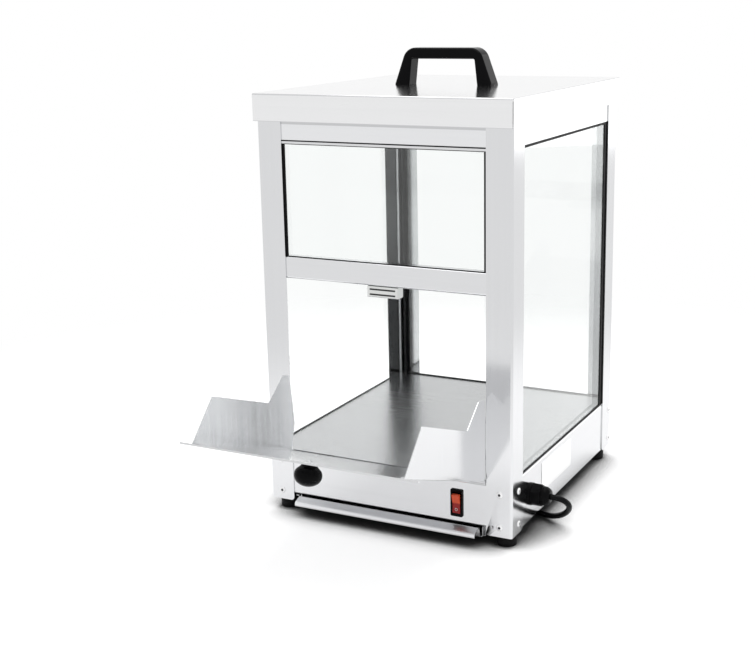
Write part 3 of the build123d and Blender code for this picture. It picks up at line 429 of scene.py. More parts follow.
# ------------------------------------------------------------------ modelling by operators
class Bench:
    """Short ways to use Blender's modelling operators, one shape at a time."""

    @staticmethod
    def clear() -> None:
        """Deselects everything, out of edit mode."""
        if bpy.context.object and bpy.context.object.mode != "OBJECT":
            bpy.ops.object.mode_set(mode="OBJECT")
        bpy.ops.object.select_all(action="DESELECT")

    @staticmethod
    def alone(piece: bpy.types.Object) -> None:
        """Makes one object the only selected and the active one.

        Args:
            piece: the object.
        """
        Bench.clear()
        piece.select_set(True)
        bpy.context.view_layer.objects.active = piece

    @staticmethod
    def settle(piece: bpy.types.Object, name: str, smooth: float = 30.0) -> bpy.types.Object:
        """Names a piece, applies its modifiers and place, mends its normals and smooths it.

        Args:
            piece: the object.
            name: its new name.
            smooth: faces that meet at less than this angle are shaded smooth, in degrees.

        Returns:
            The same object, at the origin.
        """
        Bench.alone(piece)
        for modifier in list(piece.modifiers):
            bpy.ops.object.modifier_apply(modifier=modifier.name)
        bpy.ops.object.transform_apply(location=True, rotation=True, scale=True)
        bpy.ops.object.mode_set(mode="EDIT")
        bpy.ops.mesh.select_all(action="SELECT")
        bpy.ops.mesh.remove_doubles(threshold=1e-6)
        bpy.ops.mesh.normals_make_consistent(inside=False)
        bpy.ops.object.mode_set(mode="OBJECT")
        bpy.ops.object.shade_smooth_by_angle(angle=math.radians(smooth))
        piece.name = name
        piece.data.name = name
        return piece

    @staticmethod
    def block(
        name: str, centre: Sequence[float], size: Sequence[float], bevel: float, steps: int = 3
    ) -> bpy.types.Object:
        """A box with rounded edges.

        Args:
            name: the piece's name.
            centre: its middle, in metres.
            size: its size, in metres.
            bevel: edge radius, in metres.
            steps: segments around each edge.

        Returns:
            The piece.
        """
        Bench.clear()
        bpy.ops.mesh.primitive_cube_add(size=1.0, location=centre)
        piece = bpy.context.object
        piece.scale = size
        bpy.ops.object.transform_apply(location=True, rotation=True, scale=True)
        if bevel:
            edge = piece.modifiers.new("edges", "BEVEL")
            edge.width = bevel
            edge.segments = steps
            edge.limit_method = "ANGLE"
        return Bench.settle(piece, name)

    @staticmethod
    def turn(
        name: str, rings: Sequence[tuple], sides: int, place: Optional[Matrix] = None, smooth: float = 35.0
    ) -> bpy.types.Object:
        """A turned shape: a circle extruded from ring to ring, with its ends filled or closed to a point.

        Args:
            name: the piece's name.
            rings: radius and height of each ring, in metres. A first or last radius of 0 closes to a point.
            sides: vertices around.
            place: where the finished shape goes.
            smooth: shading angle in degrees.

        Returns:
            The piece.
        """
        Bench.clear()
        radius, height = next((r, z) for r, z in rings if r > 0)
        bpy.ops.mesh.primitive_circle_add(vertices=sides, radius=radius, location=(0, 0, height))
        piece = bpy.context.object
        bpy.ops.object.transform_apply(location=True, rotation=True, scale=True)
        bpy.ops.object.mode_set(mode="EDIT")
        bpy.ops.mesh.select_all(action="SELECT")
        if rings[0][0] == 0:
            bpy.ops.mesh.extrude_edges_move(TRANSFORM_OT_translate={"value": (0, 0, rings[0][1] - height)})
            bpy.ops.mesh.merge(type="CENTER")
            bpy.ops.mesh.select_all(action="SELECT")
            Bench._select_ring(piece, radius, height)
        for next_radius, next_height in rings[1 if rings[0][0] else 2:]:
            bpy.ops.mesh.extrude_edges_move(TRANSFORM_OT_translate={"value": (0, 0, next_height - height)})
            if next_radius == 0:
                bpy.ops.mesh.merge(type="CENTER")
                break
            factor = next_radius / radius
            bpy.ops.transform.resize(value=(factor, factor, 1.0), center_override=(0, 0, next_height))
            radius, height = next_radius, next_height
        bpy.ops.object.mode_set(mode="OBJECT")
        if place:
            piece.matrix_world = place
        return Bench.settle(piece, name, smooth)

    @staticmethod
    def _select_ring(piece: bpy.types.Object, radius: float, height: float) -> None:
        """Selects the ring of vertices at one radius and height, in edit mode.

        Args:
            piece: the object in edit mode.
            radius: the ring's radius.
            height: its height.
        """
        bpy.ops.mesh.select_all(action="DESELECT")
        bpy.ops.mesh.select_mode(type="VERT")
        shape = bmesh.from_edit_mesh(piece.data)
        for vertex in shape.verts:
            reach = math.hypot(vertex.co.x, vertex.co.y)
            vertex.select = abs(reach - radius) < 1e-7 and abs(vertex.co.z - height) < 1e-7
        shape.select_flush(True)
        bmesh.update_edit_mesh(piece.data)

    @staticmethod
    def traced(name: str, node: str, smooth: float = 32.0) -> bpy.types.Object:
        """A smooth-shaded copy of a CAD node that stands for it.

        Args:
            name: the copy's name.
            node: the CAD node.
            smooth: shading angle in degrees.

        Returns:
            The copy, riding where the node rides.
        """
        source = frame["nodes"][node]
        piece = bpy.data.objects.new(name, source.data.copy())
        bpy.context.scene.collection.objects.link(piece)
        Bench.alone(piece)
        bpy.ops.object.mode_set(mode="EDIT")
        bpy.ops.mesh.select_all(action="SELECT")
        bpy.ops.mesh.remove_doubles(threshold=1e-6)
        bpy.ops.object.mode_set(mode="OBJECT")
        bpy.ops.object.shade_smooth_by_angle(angle=math.radians(smooth))
        flat = piece.modifiers.new("flat faces", "WEIGHTED_NORMAL")
        flat.keep_sharp = True
        bpy.ops.object.modifier_apply(modifier=flat.name)
        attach(piece, source["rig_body"])
        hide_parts(node)
        return piece


def dress(piece: bpy.types.Object, material: bpy.types.Material) -> None:
    """Gives a piece one material.

    Args:
        piece: the object.
        material: its finish.
    """
    piece.data.materials.clear()
    piece.data.materials.append(material)


def fit(piece: bpy.types.Object, body: str, slot: str, material: bpy.types.Material, *nodes: str) -> None:
    """Dresses a new piece, lets it ride on its body, and says what it stands for.

    Args:
        piece: the object.
        body: the CAD body that it rides on.
        slot: the record's material slot, or nothing for a finish that only the looks have; not used.
        material: its finish.
        nodes: the CAD nodes that it replaces.
    """
    dress(piece, material)
    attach(piece, body)
    if nodes:
        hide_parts(*nodes)
    log.info("%s rides on %s, stands for %s", piece.name, body, ", ".join(nodes) or "itself")


# ------------------------------------------------------------------ the finishes of this warmer
class Finishes:
    """Every material of the warmer, made once."""

    def __init__(self) -> None:
        """Makes them all."""
        self.steel_x = BrushedSteel("steel_brushed_across", Grain.ALONG_X).make()
        self.steel_y = BrushedSteel("steel_brushed_front_to_back", Grain.ALONG_Y).make()
        self.steel_z = BrushedSteel("steel_brushed_upright", Grain.ALONG_Z).make()
        self.plain = Metal("plain_steel", (0.60, 0.61, 0.62), 0.38).make()
        self.bright = Metal("bright_steel", (0.80, 0.81, 0.82), 0.18).make()
        self.zinc = Metal("zinc_plate", (0.78, 0.79, 0.78), 0.32).make()
        self.brass = Metal("pin_brass", (0.80, 0.70, 0.45), 0.22).make()
        self.glass = ClearPane("clear_glass").make()
        self.seal = Moulded("glazing_rubber", (0.006, 0.006, 0.0065), 0.5, 600.0, 0.00001, 0.12).make()
        self.foot = Moulded("foot_rubber", (0.007, 0.007, 0.0075), 0.5, 500.0, 0.00001, 0.12).make()
        self.gloss = Moulded("gloss_black", (0.004, 0.004, 0.0045), 0.08, 1200.0, 0.000003, 0.05).make()
        self.satin = Moulded("satin_black", (0.003, 0.003, 0.0035), 0.24, 900.0, 0.00001, 0.05).make()
        # The rocker's colour is painted light: a bright painted glow on its upper half and painted shade on
        # its lower half.
        self.red = PaintedLightPlastic("rocker_red", (1.0, 0.13, 0.05), (0.42, 0.016, 0.014), (0.0468, 0.0500)).make()
        self.nylon = Moulded("gland_nylon", (0.003, 0.003, 0.0035), 0.24, 700.0, 0.00001, 0.06).make()
        self.jacket = Moulded("cord_jacket", (0.003, 0.003, 0.0035), 0.26, 800.0, 0.00001, 0.10).make()
        self.silicone = Moulded("heater_silicone", (0.5, 0.14, 0.07), 0.5, 300.0).make()
        self.fibre = Moulded("fibre_pad", (0.8, 0.78, 0.72), 0.9, 220.0, 0.0004).make()
        self.block = Moulded("block_plastic", (0.78, 0.77, 0.72), 0.4).make()
        self.white = Moulded("mark_white", (0.85, 0.85, 0.84), 0.5, 700.0).make()
        # Near-black steel, partly real and partly painted shade: the mandrels are real parts, and their
        # near-black colour paints the shade in the rivet bores and the shade of the catch and hinge slots.
        self.dark = Metal("near_black_steel_painted_shade", (0.05, 0.05, 0.052), 0.45).make()
        self.foil = Metal("plate_foil", (0.99, 0.99, 0.99), 0.22, 900.0).make()
        self.rivet = Metal("rivet_aluminium", (0.97, 0.97, 0.975), 0.50).make()
        self.steel_cheek = BrushedSteel("steel_cheek", Grain.ALONG_Z, 0.76, 0.22, 0.50, 0.22).make()
        self.steel_deck = BrushedSteel("steel_deck", Grain.ALONG_X, 0.56, 0.26, 0.12, 0.08).make()
        self.steel_chute = BrushedSteel("steel_chute", Grain.ALONG_X, 0.68, 0.20, 0.10, 0.08).make()
        # Painted reflection: a dark band on the tray's front strip stands for the shaded floor mirrored in it.
        self.steel_tray = BrushedSteel(
            "steel_tray", Grain.ALONG_X, 0.80, 0.34, 0.10, 0.10, painted_shade_bands=((0.0098, 0.0155, 2.4),)
        ).make()
        # The lid's bands are painted: a painted dark reflection along the top front fold and painted shade
        # along the skirt's lower edge.
        self.steel_lid = BrushedSteel(
            "steel_lid", Grain.ALONG_X, 0.88, painted_shade_bands=((0.5131, 0.5148, 1.6), (0.4826, 0.4838, 0.8))
        ).make()
        self.steel_sash = BrushedSteel("steel_sash", Grain.ALONG_X, 0.74).make()
        # Painted shadow: a dark band on the top rails just under the lid skirt.
        self.steel_rail = BrushedSteel(
            "steel_rail", Grain.ALONG_X, 0.80, painted_shade_bands=((0.4795, 0.4834, 1.2),)
        ).make()

    def of_nodes(self) -> dict:
        """Which finish each CAD node takes.

        Returns:
            Node names to materials.
        """
        across = ["base_panel_front", "base_panel_back", "glass_trim", "hinge_rod"]
        deep = ["top_rail_left", "top_rail_right", "base_panel_left", "base_panel_right"]
        upright = ["chute_cheek_right", "post_front_left", "post_front_right"]
        upright += ["post_back_left", "post_back_right"]
        sheets = ("bottom_plate", "tray_runners", "heater_cover", "thermostat")
        screws = ("rivets", "knob_screw", "handle_screws", "foot_fixings")
        table = {node: self.steel_x for node in across}
        table.update({node: self.steel_y for node in deep})
        table.update({node: self.steel_z for node in upright})
        table.update({node: self.steel_rail for node in ("top_rail_front", "top_rail_back")})
        table.update({node: self.plain for node in sheets})
        table.update({node: self.bright for node in screws})
        table.update({node: self.zinc for node in ("magnet_catch", "cover_fixings", "switch_tabs")})
        # Painted shade: the catch poles and hinge straps take near-black steel that stands for the shade in
        # their slots.
        table.update({node: self.dark for node in ("catch_poles", "hinge_straps")})
        for side in ("front", "back", "left", "right"):
            table[f"glass_{side}"] = self.glass
            table[f"seal_{side}"] = self.seal
        table.update({node: self.nylon for node in ("gland_body", "gland_cap", "gland_locknut")})
        table.update(
            {
                "chute_cheek_left": self.steel_cheek,
                "chute_plate": self.steel_chute,
                "crumb_tray": self.steel_tray,
                "lid_cover": self.steel_lid,
                "deck": self.steel_deck,
                "mid_rail": self.steel_sash,
                "feet": self.foot,
                "lid_handle": self.gloss,
                "door_knob": self.gloss,
                "switch_housing": self.satin,
                "switch_rocker": self.red,
                "mains_tail": self.jacket,
                "base_wiring": self.jacket,
                "plug_body": self.jacket,
                "plug_pins": self.brass,
                "heater_mat": self.silicone,
                "heater_insulation": self.fibre,
                "terminal_block": self.block,
            }
        )
        return table


# ------------------------------------------------------------------ pieces of the warmer
@dataclass(frozen=True)
class Layout:
    """Places that the pieces share, in millimetres, as in the frame."""

    half_width: float = 161.0
    half_depth: float = 180.0
    panel_x: float = 159.8
    hinge: tuple = (0.0, -182.1, 80.0)
    tilt: float = 19.8
    knob_reach: float = 182.0
    rivet_heights: tuple = (26.5, 66.5)
    rivet_x: float = 145.5
    rivet_rows: tuple = (-159.3, 172.0)
    plate_middle: tuple = (-30.5, 56.0)
    plate_size: tuple = (0.4, 103.0, 36.0)
    foot_x: float = 146.5
    foot_y: float = 160.0
    gland: tuple = (159.8, -118.0, 48.5)
    switch: tuple = (91.85, -176.4, 48.3)
    rocker_lean: float = 8.0
    coil: tuple = (20.0, 235.0)

    def facing(
        self, place: Sequence[float], normal: Sequence[float], upward: Sequence[float] = (0, 0, 1)
    ) -> Matrix:
        """A place whose Z looks along a normal.

        Args:
            place: the point, in millimetres.
            normal: where Z looks.
            upward: what Y leans towards.

        Returns:
            The matrix, in metres.
        """
        out = Vector(normal).normalized()
        across = Vector(upward).cross(out)
        if across.length < 1e-6:
            across = Vector((1.0, 0.0, 0.0))
        across.normalize()
        turn = Matrix((across, out.cross(across), out)).transposed().to_4x4()
        return Matrix.Translation(Vector(place) * MM) @ turn

    def on_door(self, reach: float, rise: float, side: float = 0.0) -> Vector:
        """A point of the open chute door.

        Args:
            reach: distance from the hinge along the plate.
            rise: distance above the hinge axis, square to the plate.
            side: X.

        Returns:
            The point, in millimetres.
        """
        lean = math.radians(self.tilt)
        along = Vector((0.0, -math.cos(lean), math.sin(lean)))
        square = Vector((0.0, math.sin(lean), math.cos(lean)))
        return Vector(self.hinge) + along * reach + square * rise + Vector((side, 0.0, 0.0))

    def door_square(self) -> Vector:
        """The direction square to the chute's plate, on its inner side."""
        lean = math.radians(self.tilt)
        return Vector((0.0, math.sin(lean), math.cos(lean)))


def rings_mm(points: Iterable[tuple]) -> list:
    """Ring radii and heights from millimetres to metres.

    Args:
        points: radius and height pairs.

    Returns:
        The same in metres.
    """
    return [(radius * MM, height * MM) for radius, height in points]


def dome(radius: float, base: float, top: float, steps: int) -> list:
    """Rings of a spherical cap, from its rim to its pole.

    Args:
        radius: of the rim.
        base: height of the rim.
        top: height of the pole.
        steps: rings between them.

    Returns:
        Radius and height pairs that end at radius 0.
    """
    rise = top - base
    sphere = (radius**2 + rise**2) / (2 * abs(rise))
    sweep = math.asin(min(1.0, radius / sphere))
    way = math.copysign(1.0, rise)
    rings = []
    for step in range(steps + 1):
        angle = sweep * (1 - step / steps)
        rings.append((sphere * math.sin(angle), top - way * sphere * (1 - math.cos(angle))))
    rings[-1] = (0.0, top)
    return rings


class Fittings:
    """The turned, moulded and pressed pieces that are bolted or riveted to the sheet metal."""

    def __init__(self, finishes: Finishes, layout: Layout) -> None:
        """Keeps what the pieces share.

        Args:
            finishes: the warmer's materials.
            layout: its places.
        """
        self.finishes = finishes
        self.layout = layout

    def joined(self, name: str, pieces: Sequence[bpy.types.Object]) -> bpy.types.Object:
        """Joins pieces into one object.

        Args:
            name: its name.
            pieces: the objects.

        Returns:
            The joined object.
        """
        Bench.alone(pieces[0])
        for piece in pieces[1:]:
            piece.select_set(True)
        bpy.ops.object.join()
        joined = bpy.context.object
        joined.name = name
        joined.data.name = name
        return joined

    def rivets(self) -> None:
        """Blind rivets of the corner posts, each with its mandrel left in the bore."""
        lay = self.layout
        spots = []
        for sx in (-1, 1):
            for height in lay.rivet_heights:
                for sy in (-1, 1):
                    spots.append(((sx * lay.rivet_x, sy * lay.half_depth, height), (0, sy, 0)))
                for row in lay.rivet_rows:
                    spots.append(((sx * lay.half_width, row, height), (sx, 0, 0)))
        head = [(1.65, 0.5), (1.7, 1.25), (1.9, 1.3), (2.5, 1.2), (3.2, 0.85), (3.8, 0.38), (4.0, 0.05)]
        head += [(4.0, 0.0), (1.6, 0.0), (1.6, -2.2), (2.4, -2.25), (2.4, -3.0), (1.0, -3.7), (1.0, 0.5)]
        head += [(1.65, 0.5)]
        pin = [(0.0, -3.6), (0.95, -3.6), (0.95, 0.55), (1.6, 0.6), (1.55, 0.85), (0.0, 0.95)]
        heads, pins = [], []
        for index, (place, normal) in enumerate(spots):
            at = lay.facing(place, normal)
            heads.append(Bench.turn(f"rivet_{index}", rings_mm(head), 24, at))
            pins.append(Bench.turn(f"mandrel_{index}", rings_mm(pin), 12, at))
        fit(self.joined("rivet_heads", heads), "cabinet", "plain_steel", self.finishes.rivet, "rivets")
        # The mandrels are real parts, coloured near-black as painted shade in the rivet bores.
        fit(self.joined("rivet_mandrels", pins), "cabinet", "plain_steel", self.finishes.dark)

    def feet(self) -> None:
        """Tapered rubber feet with a recessed screw and two shallow mould rings."""
        rings = [(5.0, 0.4), (5.4, 0.0), (11.0, 0.0), (11.5, 0.3), (11.7, 1.0), (11.8, 3.6), (11.6, 3.85)]
        rings += [(11.6, 4.3), (11.85, 4.55), (12.0, 8.6), (11.8, 8.85), (11.8, 9.3), (12.05, 9.55)]
        rings += [(12.25, 14.2), (12.0, 14.8), (11.4, 15.0), (2.0, 15.0), (2.0, 10.0), (5.0, 10.0), (5.0, 0.4)]
        feet = []
        for sx in (-1, 1):
            for sy in (-1, 1):
                spot = (sx * self.layout.foot_x * MM, sy * self.layout.foot_y * MM, 0.0)
                place = Matrix.Translation(spot)
                feet.append(Bench.turn(f"foot_{sx}_{sy}", rings_mm(rings), 48, place))
        fit(self.joined("rubber_feet", feet), "cabinet", "black_rubber", self.finishes.foot, "feet")

    def knob(self) -> None:
        """Glossy phenolic door knob with its waist, and the screw head on the inner side of the chute."""
        lay = self.layout
        rings = [(2.1, 12.9), (2.1, 0.0), (8.3, 0.0), (8.6, 0.3), (8.55, 1.6), (8.7, 2.8), (9.4, 4.1)]
        rings += [(10.6, 5.3), (12.0, 6.4), (13.2, 7.6), (14.2, 9.0), (14.95, 10.8), (15.3, 12.6)]
        rings += [(15.4, 13.8), (15.25, 15.4)]
        rings += [(14.8, 17.0), (14.1, 18.6), (13.1, 20.2), (12.0, 21.5)] + dome(10.8, 22.5, 25.9, 10)
        at = lay.facing(lay.on_door(lay.knob_reach, 0.8), -lay.door_square(), (0, 1, 0))
        knob = Bench.turn("knob_ball", rings_mm(rings), 72, at, 60.0)
        fit(knob, "chute_door", "gloss_black", self.finishes.gloss, "door_knob")
        at = lay.facing(lay.on_door(lay.knob_reach, 1.8), lay.door_square(), (0, 1, 0))
        head = [(2.0, -13.9), (2.0, 0.0), (3.7, 0.0), (3.8, 0.15)] + dome(3.75, 0.4, 2.0, 8)
        screw = Bench.turn("knob_screw_head", [(0.0, -13.9 * MM)] + rings_mm(head), 32, at)
        self.cross(screw, at, 1.7)
        fit(screw, "chute_door", "plain_steel", self.finishes.bright, "knob_screw")

    def cross(self, screw: bpy.types.Object, place: Matrix, reach: float) -> None:
        """Cuts a cross recess into a screw head.

        Args:
            screw: the screw.
            place: where its head's seat is.
            reach: half length of each arm, in millimetres.
        """
        cutters = []
        for long_x in (True, False):
            size = (2 * reach, 0.55, 2.4) if long_x else (0.55, 2 * reach, 2.4)
            cutter = Bench.block("recess", (0.0, 0.0, 0.0), tuple(v * MM for v in size), 0.0)
            cutter.matrix_world = place @ Matrix.Translation((0.0, 0.0, 1.9 * MM))
            cutters.append(cutter)
        for cutter in cutters:
            cut = screw.modifiers.new("recess", "BOOLEAN")
            cut.operation = "DIFFERENCE"
            cut.solver = "EXACT"
            cut.object = cutter
            Bench.alone(screw)
            bpy.ops.object.modifier_apply(modifier=cut.name)
        Bench.clear()
        for cutter in cutters:
            cutter.select_set(True)
        bpy.ops.object.delete()
        Bench.settle(screw, screw.name)

    def gland(self) -> None:
        """Cord gland: collar, hexagon and a clamping cap with grip ribs."""
        at = self.layout.facing(self.layout.gland, (1, 0, 0))
        collar = [(3.5, 2.9), (3.5, -8.0), (8.8, -8.0), (9.0, -7.8), (9.0, 0.0), (13.2, 0.0), (13.5, 0.3)]
        collar += [(13.5, 2.5), (13.0, 3.0), (3.5, 3.0), (3.5, 2.9)]
        pieces = [Bench.turn("gland_collar", rings_mm(collar), 64, at)]
        flats = 12.0 / math.cos(math.pi / 6)
        nut = [(3.5, 3.1), (flats - 0.7, 3.1), (flats, 3.6), (flats, 14.4), (flats - 0.7, 15.0)]
        nut += [(3.5, 15.0), (3.5, 3.1)]
        pieces.append(Bench.turn("gland_hexagon", rings_mm(nut), 6, at, 20.0))
        fit(self.joined("gland_seat", pieces), "cabinet", "black_nylon", self.finishes.nylon, "gland_body")
        cap = [(3.5, 24.5), (3.5, 15.1), (10.9, 15.1), (11.3, 15.4), (11.3, 17.6), (11.0, 19.4), (10.1, 21.6)]
        cap += [(8.8, 23.6), (7.6, 24.7), (6.8, 25.0), (3.9, 25.0), (3.5, 24.5)]
        shells = [Bench.turn("gland_shell", rings_mm(cap), 64, at, 50.0)]
        ribs = 14
        for rib in range(ribs):
            size = (1.7 * MM, 1.5 * MM, 3.8 * MM)
            block = Bench.block("rib", (10.5 * MM, 0.0, 17.3 * MM), size, 0.5 * MM, 2)
            block.matrix_world = at @ Matrix.Rotation(2 * math.pi * rib / ribs, 4, "Z")
            shells.append(Bench.settle(block, f"rib_{rib}"))
        fit(self.joined("gland_clamp", shells), "cabinet", "black_nylon", self.finishes.nylon, "gland_cap")

    def switch_mark(self) -> None:
        """The ring that marks the off side of the rocker."""
        lean = math.radians(self.layout.rocker_lean)
        out = Vector((0.0, -math.cos(lean), -math.sin(lean)))
        upward = Vector((0.0, -math.sin(lean), math.cos(lean)))
        middle = Vector(self.layout.switch) + out * (4.8 + 1.6 * 7.0 / 11.6) - upward * 7.0
        Bench.clear()
        bpy.ops.mesh.primitive_torus_add(
            major_segments=40, minor_segments=8, major_radius=1.5 * MM, minor_radius=0.26 * MM
        )
        mark = bpy.context.object
        mark.scale = (1.0, 1.0, 0.35)
        bpy.ops.object.transform_apply(location=True, rotation=True, scale=True)
        mark.matrix_world = self.layout.facing(middle, out * 11.6 + upward * 1.6, upward)
        fit(Bench.settle(mark, "rocker_off_ring"), "rocker", "", self.finishes.white)

    def plate(self) -> None:
        """Blank rating plate riveted flat on the right side of the base."""
        lay = self.layout
        middle = (lay.panel_x + lay.plate_size[0] / 2, *lay.plate_middle)
        centre = tuple(v * MM for v in middle)
        plate = Bench.block("rating_plate", centre, tuple(v * MM for v in lay.plate_size), 0.0)
        edge = plate.modifiers.new("corners", "BEVEL")
        edge.width = 0.12 * MM
        edge.segments = 2
        fit(Bench.settle(plate, "rating_plate"), "cabinet", "", self.finishes.foil)

    def coil_tie(self) -> None:
        """A twist of wire tie drawn square around the laid-up cord."""
        wire, reach, squash = 1.0 * MM, 8.2 * MM, 0.842
        middle_turn, height = 34.8, 7.8
        Bench.clear()
        bpy.ops.mesh.primitive_torus_add(
            major_segments=64, minor_segments=10, major_radius=reach, minor_radius=wire
        )
        tie = bpy.context.object
        for vertex in tie.data.vertices:
            x, y = vertex.co.x, vertex.co.y
            spread = math.hypot(x, y) / (x**4 + y**4) ** 0.25
            vertex.co.x, vertex.co.y = x * spread, y * spread * squash
        x, y = self.layout.coil
        tie.matrix_world = self.layout.facing((x - middle_turn, y, height), (0, 1, 0))
        fit(Bench.settle(tie, "coil_tie"), "cabinet", "cord_jacket", self.finishes.jacket)

    def build(self) -> None:
        """Makes every fitting."""
        self.rivets()
        self.feet()
        self.knob()
        self.gland()
        self.switch_mark()
        self.plate()
        self.coil_tie()


class SheetMetal:
    """Smoothly shaded stand-ins for the folded sheets, so that each fold reads as a round bend."""

    folded = {
        "steel_z": ("post_front_left", "post_front_right", "post_back_left", "post_back_right"),
        "steel_x": ("base_panel_front",),
        "steel_sash": ("mid_rail",),
        "steel_lid": ("lid_cover",),
        "steel_rail": ("top_rail_front",),
        "steel_chute": ("chute_plate",),
        "steel_tray": ("crumb_tray",),
        "steel_y": ("top_rail_left", "top_rail_right", "base_panel_left", "base_panel_right"),
        "gloss": ("lid_handle",),
        "satin": ("switch_housing",),
        "red": ("switch_rocker",),
    }

    def __init__(self, finishes: Finishes) -> None:
        """Keeps the materials.

        Args:
            finishes: the warmer's materials.
        """
        self.finishes = finishes

    def build(self) -> None:
        """Makes a smooth copy of each folded or moulded node."""
        for finish, nodes in self.folded.items():
            for node in nodes:
                piece = Bench.traced(f"{node}_smooth", node)
                dress(piece, getattr(self.finishes, finish))
                log.info("%s stands for %s", piece.name, node)


# ------------------------------------------------------------------ studio
@dataclass
class Studio:
    """Floor, world, soft lamps and the camera."""

    eye: tuple = (0.67612, -1.46967, 0.61958)
    azimuth: float = 0.4704
    elevation: float = 0.2349
    roll: float = -0.0172
    lens: float = 61.949
    shift: tuple = (-0.02764, -0.02866)
    floor_size: float = 26.0
    floor_lift: float = 0.60
    # Painted contact shadow: its reach, the occlusion span it fades over, and its dark tone.
    painted_shadow_reach: float = 0.07
    painted_shadow_span: tuple = (0.30, 0.90)
    painted_shadow_tone: tuple = (0.06, 0.06, 0.06)
    shadow_reach: tuple = (0.45, 1.1)
    sky_level: float = 0.55

    def camera(self) -> None:
        """Places the camera."""
        forward = Vector(
            (
                -math.sin(self.azimuth) * math.cos(self.elevation),
                math.cos(self.azimuth) * math.cos(self.elevation),
                -math.sin(self.elevation),
            )
        )
        level = Vector((math.cos(self.azimuth), math.sin(self.azimuth), 0.0))
        upward = level.cross(forward)
        right = math.cos(self.roll) * level + math.sin(self.roll) * upward
        upward = -math.sin(self.roll) * level + math.cos(self.roll) * upward
        data = bpy.data.cameras.new("camera")
        data.sensor_width = 36.0
        data.sensor_fit = "HORIZONTAL"
        data.lens = self.lens
        data.shift_x, data.shift_y = self.shift
        data.clip_end = 50.0
        camera = bpy.data.objects.new("camera", data)
        bpy.context.scene.collection.objects.link(camera)
        turn = Matrix((right, upward, -forward)).transposed().to_4x4()
        camera.matrix_world = Matrix.Translation(self.eye) @ turn
        bpy.context.scene.camera = camera

    def lamp(self, name: str, place: tuple, aim: tuple, size: tuple, power: float) -> None:
        """One soft lamp.

        Args:
            name: the lamp's name.
            place: where it stands.
            aim: what it points at.
            size: width and height.
            power: watts.
        """
        data = bpy.data.lights.new(name, "AREA")
        data.shape = "RECTANGLE"
        data.size, data.size_y = size
        data.energy = power
        lamp = bpy.data.objects.new(name, data)
        bpy.context.scene.collection.objects.link(lamp)
        lamp.location = place
        lamp.rotation_euler = (Vector(aim) - Vector(place)).to_track_quat("-Z", "Y").to_euler()

    def world(self) -> None:
        """A pale surround, white where it is seen, mirrored or seen through glass."""
        world = bpy.data.worlds.new("studio")
        bpy.context.scene.world = world
        world.use_nodes = True
        tree = world.node_tree
        light = tree.nodes["Background"]
        light.inputs["Color"].default_value = (1.0, 1.0, 1.0, 1.0)
        light.inputs["Strength"].default_value = self.sky_level
        shown = tree.nodes.new("ShaderNodeBackground")
        shown.inputs["Color"].default_value = (1.0, 1.0, 1.0, 1.0)
        shown.inputs["Strength"].default_value = 1.0
        path = tree.nodes.new("ShaderNodeLightPath")
        either = tree.nodes.new("ShaderNodeMath")
        either.operation = "MAXIMUM"
        also = tree.nodes.new("ShaderNodeMath")
        also.operation = "MAXIMUM"
        mix = tree.nodes.new("ShaderNodeMixShader")
        tree.links.new(path.outputs["Is Camera Ray"], either.inputs[0])
        tree.links.new(path.outputs["Is Glossy Ray"], either.inputs[1])
        tree.links.new(either.outputs[0], also.inputs[0])
        tree.links.new(path.outputs["Is Transmission Ray"], also.inputs[1])
        tree.links.new(also.outputs[0], mix.inputs[0])
        tree.links.new(light.outputs[0], mix.inputs[1])
        tree.links.new(shown.outputs[0], mix.inputs[2])
        tree.links.new(mix.outputs[0], tree.nodes["World Output"].inputs["Surface"])

    def floor(self) -> None:
        """A plain pale floor that keeps the shadow, and adds a painted contact shadow from ambient occlusion
        close to the object.
        """
        Bench.clear()
        bpy.ops.mesh.primitive_plane_add(size=self.floor_size, location=(0.0, 0.0, 0.0))
        floor = bpy.context.object
        floor.name = "floor"
        coat = Coat("floor_paper")
        tooth = coat.noise((90.0,) * 3, 2.0, 0.5)
        near_by = {"Distance": self.painted_shadow_reach}
        # Painted shadow: ambient occlusion darkens the floor's colour and its white lift close to the object.
        open_sky = coat.add("ShaderNodeAmbientOcclusion", {"samples": 8}, near_by, "AO")
        seen = coat.add("ShaderNodeLightPath", {}, {}, "Is Camera Ray")
        mirrored = coat.add("ShaderNodeLightPath", {}, {}, "Is Glossy Ray")
        through = coat.add("ShaderNodeLightPath", {}, {}, "Is Transmission Ray")
        either = coat.add("ShaderNodeMath", {"operation": "MAXIMUM"}, {0: seen, 1: mirrored})
        shows = coat.add("ShaderNodeMath", {"operation": "MAXIMUM"}, {0: either, 1: through})
        painted_contact_shadow = 1.0 - shows * (1.0 - open_sky.sharpen(*self.painted_shadow_span))
        paper = coat.mix(tooth, (0.80, 0.80, 0.80), (0.82, 0.82, 0.82))
        coat.set(Base_Color=coat.mix(painted_contact_shadow, self.painted_shadow_tone, paper), Roughness=0.9)
        coat.set(Specular_IOR_Level=0.0)
        reach = coat.add("ShaderNodeVectorMath", {"operation": "LENGTH"}, {0: coat.place}, "Value")
        beyond = reach.sharpen(*self.shadow_reach)
        lift = painted_contact_shadow * shows * self.floor_lift
        glow = coat.add("ShaderNodeEmission", {}, {"Color": (1.0, 1.0, 1.0), "Strength": lift})
        near = coat.add("ShaderNodeAddShader", {}, {0: glow}).socket.node
        coat.tree.links.new(coat.shader.outputs[0], near.inputs[1])
        white = coat.add("ShaderNodeEmission", {}, {"Color": (1.0, 1.0, 1.0), "Strength": 1.0})
        share = shows * beyond
        both = coat.add("ShaderNodeMixShader", {}, {0: share, 2: white}).socket.node
        coat.tree.links.new(near.outputs[0], both.inputs[1])
        coat.tree.links.new(both.outputs[0], coat.tree.nodes["Material Output"].inputs["Surface"])
        dress(floor, coat.material)

